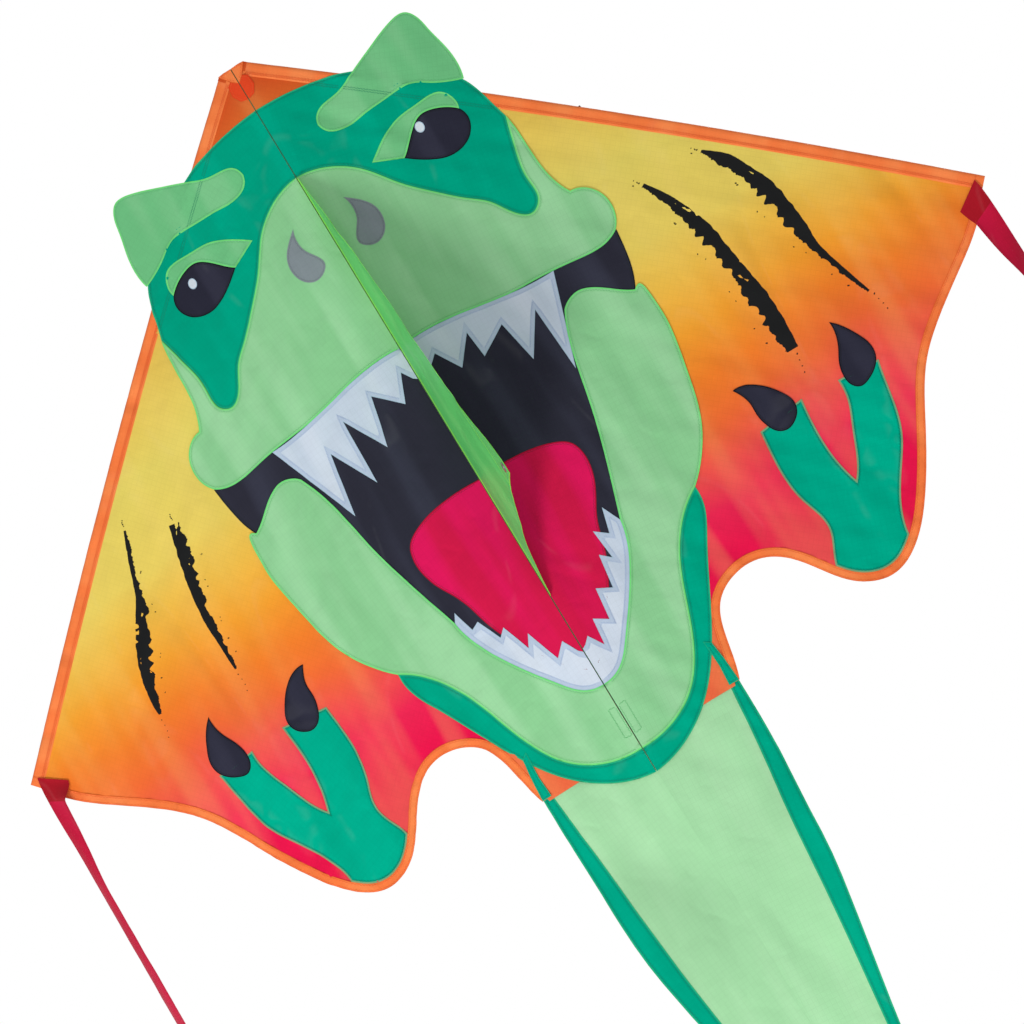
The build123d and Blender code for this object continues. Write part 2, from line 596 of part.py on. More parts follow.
TAIL_CREASE = [(SEAM_GAP / 2, TAIL_TOP), (SEAM_GAP / 2, TAIL_TOP - TAIL_LENGTH)]
save_pair(tail_piece(TAIL_CREASE, tail_points(TAIL_INNER)), "tail_panel")
save_pair(tail_piece(tail_points(TAIL_INNER), tail_points(TAIL_OUTER)), "tail_band")

# ---- streamers hanging from the wing tips ---------------------------------------------------
with BuildPart() as streamer:
    with BuildSketch(wing_plane(-STREAMER_BACK - CLOTH)):
        with Locations((HALF_SPAN - STREAMER_INSET, TIP_CORNER[1] - STREAMER_DROP)):
            Rectangle(STREAMER_WIDTH, STREAMER_LENGTH, align=(Align.CENTER, Align.MAX))
    extrude(amount=CLOTH)
save_pair(streamer.part, "streamer")

print(f"seam at {SEAM_X:.3f}, {SEAM_Y:.3f}; spreader at y {SPREADER_Y:.2f}, z {SPREADER_Z:.2f}")
print(f"streamer hinge at {tuple(SEAM + OUTWARD * (HALF_SPAN - STREAMER_INSET))}")
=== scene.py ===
"""A single-line delta kite sewn from coloured ripstop, dressed over its measured model.

Wing cloth is laid out flat in millimetres: u runs outward from the centre seam, v runs up from
the tow eyelet and n stands off the front of the cloth.  Most outlines are read from the measured
piece that they dress and the rest are given here; each is then cut, wrinkled, stitched and
placed in metres.
"""

import logging
import math
from dataclasses import dataclass, field
from enum import Enum

import bpy
import numpy as np
from mathutils import Matrix, Vector, geometry, noise


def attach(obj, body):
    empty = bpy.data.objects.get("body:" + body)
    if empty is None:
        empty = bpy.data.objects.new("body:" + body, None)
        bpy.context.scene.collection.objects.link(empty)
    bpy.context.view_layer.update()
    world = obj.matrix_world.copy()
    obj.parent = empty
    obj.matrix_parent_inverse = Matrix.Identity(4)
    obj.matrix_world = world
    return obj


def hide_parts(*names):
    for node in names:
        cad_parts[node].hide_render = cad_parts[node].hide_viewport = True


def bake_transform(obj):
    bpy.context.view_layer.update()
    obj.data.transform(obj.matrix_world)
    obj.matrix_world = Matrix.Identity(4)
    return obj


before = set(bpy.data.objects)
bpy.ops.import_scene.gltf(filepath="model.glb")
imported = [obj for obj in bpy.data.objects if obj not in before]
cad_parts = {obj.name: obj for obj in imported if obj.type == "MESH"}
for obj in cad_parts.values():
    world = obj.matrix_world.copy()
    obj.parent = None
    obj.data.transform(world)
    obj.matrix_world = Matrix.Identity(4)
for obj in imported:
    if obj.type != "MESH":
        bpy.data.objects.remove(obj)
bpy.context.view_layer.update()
LOG = logging.getLogger("kite")

MM = 0.001
UP = Vector((0.0, 0.0, 1.0))
SEAM = Vector((-46.353, 142.658, 0.0))
DIHEDRAL = math.radians(8.0)
KEEL_LEAN = math.radians(18.0)
HEM_HEIGHT = -276.0
TAIL_TOP = -277.0
TAIL_BACK = 14.0
LAYER = 0.3


class Side(Enum):
    """The two halves of the kite, seen from the front."""

    LEFT = -1
    RIGHT = 1

    @property
    def prefix(self) -> str:
        """Start of the names of this side's pieces."""
        return self.name.lower()


class Held(Enum):
    """How a sheet of cloth is held on the kite."""

    STRETCHED = "stretched"
    HUNG = "hung"


def smooth(value: np.ndarray | float) -> np.ndarray:
    """Ease from nought to one."""
    eased = np.clip(value, 0.0, 1.0)
    return eased * eased * (3.0 - 2.0 * eased)


def ripple(across: np.ndarray, along: np.ndarray, seed: float) -> np.ndarray:
    """Smooth noise between minus one and one at each pair of coordinates."""
    return np.array([noise.noise(Vector((x, y, seed))) for x, y in zip(across, along)])


def linear(colour: tuple[float, float, float]) -> tuple[float, float, float, float]:
    """Turn a display colour with parts up to 255 into linear light.

    Args:
        colour: Red, green and blue as a display shows them.

    Returns:
        The same colour as linear light, opaque.
    """
    parts = [c / 255.0 for c in colour]
    light = [c / 12.92 if c <= 0.04045 else ((c + 0.055) / 1.055) ** 2.4 for c in parts]
    return (*light, 1.0)


# ---------------------------------------------------------------------------- pattern plane


@dataclass(frozen=True)
class Layout:
    """A flat pattern plane standing in the object's frame.

    Args:
        origin: Where u and n are nought at the height of the tow eyelet, in millimetres.
        along: Unit direction of u.
        front: Unit direction of n.
    """

    origin: Vector
    along: Vector
    front: Vector

    def place(self, flat: np.ndarray, rise: np.ndarray) -> np.ndarray:
        """Stand flat points in the object's frame, in metres."""
        spread = np.outer(flat[:, 0], self.along) + np.outer(rise, self.front)
        return (np.array(self.origin) + spread + np.outer(flat[:, 1], UP)) * MM

    def read(self, places: np.ndarray) -> np.ndarray:
        """Give u, v and n of places in the object's frame.

        Args:
            places: Points in metres.

        Returns:
            One row of u, v and n for each point, in millimetres.
        """
        offset = places / MM - np.array(self.origin)
        return np.stack([offset @ np.array(self.along), offset[:, 2],
                         offset @ np.array(self.front)], axis=1)


def wing_layout(side: Side) -> Layout:
    """Pattern plane of one wing.

    Args:
        side: Which half of the kite.

    Returns:
        The plane, leaning back by the dihedral.
    """
    way = side.value
    return Layout(SEAM, Vector((way * math.cos(DIHEDRAL), math.sin(DIHEDRAL), 0.0)),
                  Vector((way * math.sin(DIHEDRAL), -math.cos(DIHEDRAL), 0.0)))


def tail_layout(side: Side) -> Layout:
    """Pattern plane of one half of the tail."""
    return Layout(SEAM + Vector((0.0, TAIL_BACK - LAYER, 0.0)), Vector((side.value, 0.0, 0.0)),
                  Vector((0.0, -1.0, 0.0)))


def keel_layout() -> Layout:
    """Pattern plane of the keel, u running forward from the seam."""
    along = Vector((math.sin(KEEL_LEAN), -math.cos(KEEL_LEAN), 0.0))
    return Layout(SEAM, along, along.cross(UP))


# ---------------------------------------------------------------------------- cut outlines


class Region:
    """Closed outlines on a pattern plane, in millimetres."""

    STEP = 4.0
    SEAM_REACH = 3.0

    def __init__(self, loops: list[np.ndarray]) -> None:
        """Keep the loops anticlockwise with short edges.

        Args:
            loops: Corners of each closed outline.
        """
        self.loops = [self._even(loop) for loop in loops]
        self.starts = np.concatenate(self.loops)
        self.ends = np.concatenate([np.roll(loop, -1, axis=0) for loop in self.loops])
        self.hemmed = ~((self.starts[:, 0] < self.SEAM_REACH) & (self.ends[:, 0] < self.SEAM_REACH))

    @classmethod
    def _even(cls, loop: np.ndarray) -> np.ndarray:
        """Turn a loop anticlockwise and divide its long edges.

        Args:
            loop: Corners of the outline.

        Returns:
            Its points, none further apart than the step.
        """
        ahead = np.roll(loop, -1, axis=0)
        if (loop[:, 0] * ahead[:, 1] - ahead[:, 0] * loop[:, 1]).sum() < 0:
            loop = loop[::-1]
            ahead = np.roll(loop, -1, axis=0)
        points = []
        for here, there in zip(loop, ahead):
            parts = max(1, math.ceil(np.hypot(*(there - here)) / cls.STEP))
            points += [here + (there - here) * i / parts for i in range(parts)]
        return np.array(points)

    @classmethod
    def of_node(cls, node: str, layout: Layout) -> "Region":
        """Read the outline of a measured piece's front face.

        Args:
            node: Name of the measured piece.
            layout: Pattern plane that the piece lies on.

        Returns:
            The outline, one loop for each edge of the face.
        """
        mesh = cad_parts[node].data
        flat = layout.read(np.array([vertex.co for vertex in mesh.vertices], dtype=float))
        level = flat[:, 2].max() - 0.01
        spots: dict[tuple[float, float], int] = {}
        spot = [spots.setdefault((round(u, 2), round(v, 2)), len(spots)) for u, v, _ in flat]
        uses: dict[tuple[int, int], int] = {}
        for face in mesh.polygons:
            if min(flat[i][2] for i in face.vertices) < level:
                continue
            ring = [spot[i] for i in face.vertices]
            for a, b in zip(ring, ring[1:] + ring[:1]):
                if a != b:
                    uses[min(a, b), max(a, b)] = uses.get((min(a, b), max(a, b)), 0) + 1
        beside: dict[int, list[int]] = {}
        for (a, b), count in uses.items():
            if count == 1:
                beside.setdefault(a, []).append(b)
                beside.setdefault(b, []).append(a)
        where = np.array(list(spots))
        loops = []
        while beside:
            here = next(iter(beside))
            walk = [here]
            while beside.get(here):
                there = beside[here].pop()
                beside[there].remove(here)
                walk.append(there)
                here = there
            beside = {key: ends for key, ends in beside.items() if ends}
            loops.append(where[walk[:-1]])
        return cls([loop for loop in loops if len(loop) > 2])

    def distance(self, points: np.ndarray, hemmed_only: bool = False) -> np.ndarray:
        """Distance of each point from the nearest outline.

        Args:
            points: Points on the pattern plane.
            hemmed_only: Leave out the edges that are joined at the centre seam.

        Returns:
            One distance for each point.
        """
        kept = self.hemmed if hemmed_only else np.ones(len(self.starts), dtype=bool)
        starts, run = self.starts[kept], (self.ends - self.starts)[kept]
        length = (run ** 2).sum(axis=1)
        nearest = []
        for chunk in np.array_split(points, max(1, len(points) // 1500)):
            offset = chunk[:, None, :] - starts[None]
            share = np.clip((offset * run).sum(axis=2) / length, 0.0, 1.0)
            gap = offset - share[..., None] * run
            nearest.append(np.sqrt((gap ** 2).sum(axis=2).min(axis=1)))
        return np.concatenate(nearest)

    def holds(self, points: np.ndarray) -> np.ndarray:
        """True for each point inside the outlines.

        Args:
            points: Points on the pattern plane.

        Returns:
            One truth value for each point.
        """
        inside = np.zeros(len(points), dtype=bool)
        for (ax, ay), (bx, by) in zip(self.starts, self.ends):
            if ay != by:
                crossing = (ay > points[:, 1]) != (by > points[:, 1])
                inside ^= crossing & (points[:, 0] < (bx - ax) * (points[:, 1] - ay)
                                      / (by - ay) + ax)
        return inside

    def inset(self, depth: float) -> list[np.ndarray]:
        """Lines drawn at a depth inside the outline.

        Args:
            depth: How far inside, or outside where negative.

        Returns:
            Unbroken runs of points; a closed run ends where it starts.
        """
        runs = []
        for loop in self.loops:
            ahead = np.roll(loop, -1, axis=0) - loop
            ahead /= np.linalg.norm(ahead, axis=1)[:, None]
            both = ahead + np.roll(ahead, 1, axis=0)
            inward = np.stack([-both[:, 1], both[:, 0]], axis=1)
            inward /= np.maximum(np.linalg.norm(inward, axis=1), 1e-6)[:, None]
            square = np.stack([-ahead[:, 1], ahead[:, 0]], axis=1)
            mitre = np.maximum((inward * square).sum(axis=1), 0.4)
            sewn = (loop[:, 0] < self.SEAM_REACH) & (depth > 0)
            after = sewn & (np.roll(loop[:, 0], -1) < self.SEAM_REACH)
            before = np.roll(after, 1)
            inward[before & ~after] = square[before & ~after]
            inward[after & ~before] = np.roll(square, 1, axis=0)[after & ~before]
            mitre[before != after] = 1.0
            moved = loop + inward * (depth / mitre)[:, None]
            moved[:, 0] += np.where(before != after, 0.05, 0.0)
            keep = self.distance(moved, depth > 0) > 0.96 * abs(depth)
            keep &= self.holds(moved) if depth > 0 else ~self.holds(moved)
            keep &= ~(before & after)
            if keep.all():
                runs.append(np.concatenate([moved, moved[:1]]))
                continue
            if not keep.any():
                continue
            first = int(np.flatnonzero(~keep)[0])
            order = np.roll(np.arange(len(loop)), -first)
            run: list[np.ndarray] = []
            for index in [*order, order[0]]:
                if keep[index]:
                    run.append(moved[index])
                    continue
                if len(run) > 1:
                    runs.append(np.array(run))
                run = []
        return runs

    def grown(self, margin: float) -> "Region":
        """The same outline let out by a margin."""
        return Region([run[:-1] for run in self.inset(-margin) if len(run) > 3])


@dataclass
class Cut:
    """Cloth cut to an outline and divided into triangles.

    Args:
        region: Outline of the cloth.
        rings: Depths at which lines are kept, so that rims and bands stay crisp.
        step: Spacing of the points inside.
        windows: Outlines cut away behind other cloth.
        allowance: Depth of the cloth left inside each window, in millimetres.
    """

    region: Region
    rings: tuple[float, ...] = ()
    step: float = 7.0
    windows: tuple[Region, ...] = ()
    allowance: float = 6.0
    points: np.ndarray = field(init=False)
    faces: np.ndarray = field(init=False)
    depths: np.ndarray = field(init=False)

    def __post_init__(self) -> None:
        """Divide the cloth."""
        runs = [np.concatenate([loop, loop[:1]]) for loop in self.region.loops]
        for ring in self.rings:
            runs += self.region.inset(ring)
        for window in self.windows:
            runs += window.inset(self.allowance)
        spots: list[tuple[float, float]] = []
        edges: list[tuple[int, int]] = []
        for run in runs:
            first = len(spots)
            spots += [tuple(point) for point in run]
            edges += [(i, i + 1) for i in range(first, len(spots) - 1)]
        spots += [tuple(point) for point in self._inner()]
        flat, _, faces, *_ = geometry.delaunay_2d_cdt([Vector(s) for s in spots], edges, [],
                                                      0, 1e-4)
        points = np.array([tuple(point) for point in flat])
        faces = np.array(faces)
        middle = points[faces].mean(axis=1)
        keep = self.region.holds(middle)
        for window in self.windows:
            keep &= ~(window.holds(middle) & (window.distance(middle) > self.allowance - 0.05))
        faces = faces[keep]
        used, packed = np.unique(faces, return_inverse=True)
        self.points = points[used]
        self.faces = packed.reshape(faces.shape)
        self.depths = self.region.distance(middle[keep], hemmed_only=True)

    def _inner(self) -> np.ndarray:
        """Staggered points inside the outline, clear of its lines.

        Returns:
            The points, in rows.
        """
        low = self.region.starts.min(axis=0)
        high = self.region.starts.max(axis=0)
        rows = np.arange(low[1], high[1], self.step * 0.87)
        grid = np.array([(u + self.step / 2 * (row % 2), v) for row, v in enumerate(rows)
                         for u in np.arange(low[0], high[0], self.step)])
        margin = max(self.rings, default=0.0) + 0.5 * self.step
        return grid[self.region.holds(grid) & (self.region.distance(grid) > margin)]

    @property
    def area(self) -> float:
        """Flat area in square metres.

        Returns:
            The area of all the triangles.
        """
        a, b, c = (self.points[self.faces[:, i]] for i in range(3))
        ab, ac = b - a, c - a
        twice = ab[:, 0] * ac[:, 1] - ab[:, 1] * ac[:, 0]
        return float(np.abs(twice).sum() / 2) * MM * MM

    @property
    def flat_size(self) -> tuple[float, float]:
        """Width and length in metres of the cloth that the piece is cut from.

        A curved strip is as long as half its outline, and as wide as its area then asks.

        Returns:
            The width and the length.
        """
        size = (self.points.max(axis=0) - self.points.min(axis=0)) * MM
        if self.area > 0.36 * size[0] * size[1]:
            return (float(size[0]), float(size[1]))
        length = float(np.linalg.norm(self.region.ends - self.region.starts, axis=1).sum()) * MM / 2
        return (max(0.0102, self.area / length * 1.05), length)


# ---------------------------------------------------------------------------- hanging shape


class WingShape:
    """How far the cloth of one wing stands off its flat pattern, in millimetres."""

    NOSE = np.array([16.0, 520.0])
    TIP = np.array([585.0, 25.0])
    BOW = 7.0

    def __init__(self, side: Side, hem: Region) -> None:
        """Keep the side's own wrinkles and the line of its trailing edge.

        Args:
            side: Which half of the kite.
            hem: Outline of the hem along the trailing edge.
        """
        self.seed = 4.0 + 7.0 * side.value
        self.hem = hem
        chord = self.TIP - self.NOSE
        reach = float(np.hypot(*chord))
        out = np.array([-chord[1], chord[0]]) / reach
        self.radius = (reach ** 2 / 4 + self.BOW ** 2) / (2 * self.BOW)
        self.centre = (self.NOSE + self.TIP) / 2 - out * (self.radius - self.BOW)
        self.length = self.radius * self._angle(self.NOSE) - self.radius * self._angle(self.TIP)

    def _angle(self, point: np.ndarray) -> float:
        """Angle of a point about the middle of the leading-edge arc."""
        return math.atan2(point[1] - self.centre[1], point[0] - self.centre[0])

    def edge_point(self, distance: float, depth: float) -> tuple[float, float]:
        """Point along the leading edge, at a depth inside it.

        Args:
            distance: How far along the edge from the nose.
            depth: How far inside the edge.

        Returns:
            The point's u and v.
        """
        angle = self._angle(self.NOSE) - distance / self.radius
        reach = self.radius - depth
        return (self.centre[0] + reach * math.cos(angle), self.centre[1] + reach * math.sin(angle))

    def edge_depth(self, flat: np.ndarray) -> np.ndarray:
        """Depth of each point inside the leading edge."""
        return self.radius - np.hypot(flat[:, 0] - self.centre[0], flat[:, 1] - self.centre[1])

    def rise(self, flat: np.ndarray, level: float) -> np.ndarray:
        """Height of the cloth off the pattern plane.

        Args:
            flat: Points on the pattern plane.
            level: Number of cloth layers under this one.

        Returns:
            One height for each point.
        """
        u, v = flat[:, 0], flat[:, 1]
        depth = self.edge_depth(flat)
        run = np.arctan2(v - self.centre[1], u - self.centre[0]) * self.radius
        grip = smooth((depth - 13.0) / 34.0) * smooth((u - 1.0) / 30.0)
        billow = 3.6 * ripple(u / 190.0, v / 190.0, self.seed)
        strain = 2.3 * ripple(run / 210.0, depth / 19.0, self.seed + 1) * np.exp(-depth / 130.0)
        hang = 1.5 * ripple(u / 27.0, v / 170.0, self.seed + 2) * smooth((170.0 - v) / 240.0)
        crease = 1.5 * ripple((u + v) / 24.0, (u - v) / 150.0, self.seed + 3)
        crush = 0.45 * ripple(u / 11.0, v / 13.0, self.seed + 4)
        gather = 0.9 * ripple(u / 60.0, v / 11.0, self.seed + 5) * np.exp(-u / 26.0)
        hem_gap = self.hem.distance(flat)
        pucker = 1.1 * ripple(u / 8.0, v / 8.0, self.seed + 6) * np.exp(-hem_gap / 11.0)
        slack = billow + strain + hang + crease + crush + gather
        ridge = 1.7 * np.exp(-((depth - 4.4) / 3.3) ** 2)
        layers = (level + 1.0) * LAYER * (0.45 + 0.55 * smooth(u / 8.0))
        return grip * (slack + pucker) + ridge + layers


class TailShape:
    """How far one half of the tail stands off its flat pattern, in millimetres."""

    def __init__(self, side: Side, wing: WingShape) -> None:
        """Keep the wing that the tail hangs from."""
        self.seed = 31.0 + 5.0 * side.value
        self.wing = wing

    def rise(self, flat: np.ndarray, level: float) -> np.ndarray:
        """Height of the cloth off the tail's pattern plane, following the wing at the top.

        Args:
            flat: Points on the pattern plane.
            level: Number of cloth layers under this one.

        Returns:
            One height for each point.
        """
        u, v = flat[:, 0], flat[:, 1]
        drop = TAIL_TOP - v
        sewn = 1.0 - smooth((drop - 40.0) / 110.0)
        top = TAIL_BACK - LAYER - u * math.tan(DIHEDRAL) + self.wing.rise(flat, 0.0) - 1.6
        sway = 10.0 * smooth((drop - 300.0) / 600.0) * np.sin(drop / 210.0)
        pleat = 0.13 * np.maximum(u, 0.0) * smooth(drop / 160.0) + 1.2 * np.exp(-np.abs(u) / 9.0)
        free = smooth((u - 0.5) / 30.0)
        folds = 3.0 * free * ripple(u / 34.0, drop / 260.0, self.seed)
        drift = 5.0 * free * ripple(u / 150.0, drop / 150.0, self.seed + 1)
        crush = 0.8 * free * ripple(u / 16.0, drop / 24.0, self.seed + 2)
        crush *= 0.4 + np.exp(-drop / 120.0)
        return sewn * top + (1.0 - sewn) * (sway + pleat + folds + drift) + crush + level * LAYER


class KeelShape:
    """How far the keel stands off its flat pattern, in millimetres."""

    def rise(self, flat: np.ndarray, level: float) -> np.ndarray:
        """Height of the cloth, flat at the seam and at the eyelet.

        Args:
            flat: Points on the pattern plane.
            level: Number of cloth layers under this one.

        Returns:
            One height for each point.
        """
        u, v = flat[:, 0], flat[:, 1]
        grip = smooth(u / 40.0) * smooth((np.hypot(u - 150.0, v) - 14.0) / 50.0)
        belly = 2.4 * np.sin(v / 62.0) * smooth(u / 60.0)
        folds = 1.8 * ripple(u / 60.0, v / 38.0, 3.3) + 0.5 * ripple(u / 14.0, v / 16.0, 9.1)
        return grip * (belly + folds) + level * LAYER


Shape = WingShape | TailShape | KeelShape


# ---------------------------------------------------------------------------- shared effects


Tint = bpy.types.NodeSocket | tuple
Amount = bpy.types.NodeSocket | float


class NodeSketch:
    """Short calls for building a node tree."""

    def __init__(self, tree: bpy.types.NodeTree) -> None:
        """Work on one tree."""
        self.tree = tree
        self.across = -1400

    def add(self, kind: str, **settings: object) -> bpy.types.Node:
        """Add a node and set its properties.

        Args:
            kind: Blender's name for the node.
            settings: Properties and their values.

        Returns:
            The node.
        """
        node = self.tree.nodes.new(kind)
        node.location = (self.across, 0)
        self.across += 160
        for key, value in settings.items():
            setattr(node, key, value)
        return node

    def join(self, source: bpy.types.NodeSocket, target: bpy.types.NodeSocket) -> None:
        """Link two sockets."""
        self.tree.links.new(source, target)

    def maths(self, operation: str, *values: Amount) -> bpy.types.NodeSocket:
        """Add a math node whose inputs are sockets or numbers.

        Args:
            operation: What the node works out.
            values: Its inputs in order.

        Returns:
            The node's result.
        """
        node = self.add("ShaderNodeMath", operation=operation)
        for socket, value in zip(node.inputs, values):
            if isinstance(value, (int, float)):
                socket.default_value = value
            else:
                self.join(value, socket)
        return node.outputs[0]

    def mix(self, factor: Amount, first: Tint, second: Tint) -> bpy.types.NodeSocket:
        """Mix two colours, each a socket or a linear colour.

        Args:
            factor: Share of the second colour.
            first: First colour.
            second: Second colour.

        Returns:
            The mixed colour.
        """
        node = self.add("ShaderNodeMix", data_type="RGBA")
        for socket, value in zip((node.inputs[0], node.inputs[6], node.inputs[7]),
                                 (factor, first, second)):
            if isinstance(value, (int, float, tuple)):
                socket.default_value = value
            else:
                self.join(value, socket)
        return node.outputs[2]

    def noise(self, vector: bpy.types.NodeSocket, scale: float,
              detail: float = 2.0) -> bpy.types.NodeSocket:
        """Add a noise texture and give its value.

        Args:
            vector: Where the noise is read.
            scale: Spots to a metre.
            detail: Number of finer layers.

        Returns:
            The noise, about nought to one.
        """
        node = self.add("ShaderNodeTexNoise")
        node.inputs["Scale"].default_value = scale
        node.inputs["Detail"].default_value = detail
        self.join(vector, node.inputs["Vector"])
        return node.outputs[0]

    def ramp(self, value: bpy.types.NodeSocket, low: float, high: float) -> bpy.types.NodeSocket:
        """Map a value from low..high to 0..1, eased.

        Args:
            value: Value to map.
            low: Value that gives nought.
            high: Value that gives one.

        Returns:
            The eased share.
        """
        node = self.add("ShaderNodeMapRange", interpolation_type="SMOOTHSTEP")
        node.inputs["From Min"].default_value = low
        node.inputs["From Max"].default_value = high
        self.join(value, node.inputs["Value"])
        return node.outputs[0]


class SharedEffects:
    """Node groups that several materials use, each built once."""

    def __init__(self) -> None:
        """Build the groups."""
        self.ripstop = self._ripstop()
        self.wear = self._wear()
        self.finished: dict[str, bpy.types.Material] = {}

    @staticmethod
    def _group(name: str, inputs: dict[str, str], outputs: dict[str, str]) -> tuple[
            bpy.types.NodeTree, NodeSketch, bpy.types.Node, bpy.types.Node]:
        """Start a group with named sockets.

        Args:
            name: Name of the group.
            inputs: Kind of each input socket.
            outputs: Kind of each output socket.

        Returns:
            The group, a sketch of it, and its input and output nodes.
        """
        group = bpy.data.node_groups.new(name, "ShaderNodeTree")
        for way, sockets in (("INPUT", inputs), ("OUTPUT", outputs)):
            for label, kind in sockets.items():
                group.interface.new_socket(name=label, in_out=way, socket_type=kind)
        sketch = NodeSketch(group)
        return group, sketch, sketch.add("NodeGroupInput"), sketch.add("NodeGroupOutput")

    def _ripstop(self) -> bpy.types.NodeTree:
        """Thick threads crossing in small squares over a fine weave.

        Returns:
            The group.
        """
        group, sketch, given, out = self._group(
            "ripstop_weave",
            {"Vector": "NodeSocketVector", "Spacing": "NodeSocketFloat", "Turn": "NodeSocketFloat"},
            {"Threads": "NodeSocketFloat", "Height": "NodeSocketFloat"})
        turn = sketch.add("ShaderNodeVectorRotate", rotation_type="Z_AXIS")
        sketch.join(given.outputs["Vector"], turn.inputs["Vector"])
        sketch.join(given.outputs["Turn"], turn.inputs["Angle"])
        parts = sketch.add("ShaderNodeSeparateXYZ")
        sketch.join(turn.outputs[0], parts.inputs[0])
        lines = []
        for axis in (0, 1):
            cell = sketch.maths("DIVIDE", parts.outputs[axis], given.outputs["Spacing"])
            swing = sketch.maths("PINGPONG", cell, 0.5)
            lines.append(sketch.ramp(swing, 0.10, 0.02))
        threads = sketch.maths("MAXIMUM", *lines)
        fine = sketch.noise(turn.outputs[0], 2600.0, 1.0)
        height = sketch.maths("ADD", threads, sketch.maths("MULTIPLY", fine, 0.6))
        sketch.join(threads, out.inputs["Threads"])
        sketch.join(height, out.inputs["Height"])
        return group

    def _wear(self) -> bpy.types.NodeTree:
        """Soft patches, long streaks and pale fold lines left in thin cloth; the streaks also carry
        the tongue's painted shade.

        Returns:
            The group.
        """
        group, sketch, given, out = self._group(
            "cloth_unevenness",
            {"Vector": "NodeSocketVector", "Streak Turn": "NodeSocketFloat"},
            {"Patches": "NodeSocketFloat", "Streaks": "NodeSocketFloat",
             "Folds": "NodeSocketFloat", "Creases": "NodeSocketFloat"})
        patches = sketch.ramp(sketch.noise(given.outputs["Vector"], 9.0, 3.0), 0.3, 0.7)
        turn = sketch.add("ShaderNodeVectorRotate", rotation_type="Z_AXIS")
        sketch.join(given.outputs["Vector"], turn.inputs["Vector"])
        sketch.join(given.outputs["Streak Turn"], turn.inputs["Angle"])
        squash = sketch.add("ShaderNodeMapping")
        squash.inputs["Scale"].default_value = (1.0, 0.13, 1.0)
        sketch.join(turn.outputs[0], squash.inputs["Vector"])
        streaks = sketch.ramp(sketch.noise(squash.outputs[0], 26.0, 1.5), 0.42, 0.66)
        slant = sketch.add("ShaderNodeMapping")
        slant.inputs["Rotation"].default_value = (0.0, 0.0, 0.5)
        slant.inputs["Scale"].default_value = (1.0, 0.4, 1.0)
        sketch.join(given.outputs["Vector"], slant.inputs["Vector"])
        broad = sketch.maths("ABSOLUTE", sketch.maths(
            "MULTIPLY_ADD", sketch.noise(slant.outputs[0], 8.5, 1.0), 2.0, -1.0))
        small = sketch.maths("ABSOLUTE", sketch.maths(
            "MULTIPLY_ADD", sketch.noise(given.outputs["Vector"], 27.0, 1.5), 2.0, -1.0))
        creases = sketch.maths("ADD", sketch.ramp(broad, 0.0, 0.3),
                               sketch.maths("MULTIPLY", sketch.ramp(small, 0.0, 0.3), 0.12))
        folds = sketch.maths("MULTIPLY", sketch.ramp(broad, 0.035, 0.0),
                             sketch.ramp(small, 0.05, 0.25))
        for label, value in (("Patches", patches), ("Streaks", streaks), ("Folds", folds),
                             ("Creases", creases)):
            sketch.join(value, out.inputs[label])
        return group


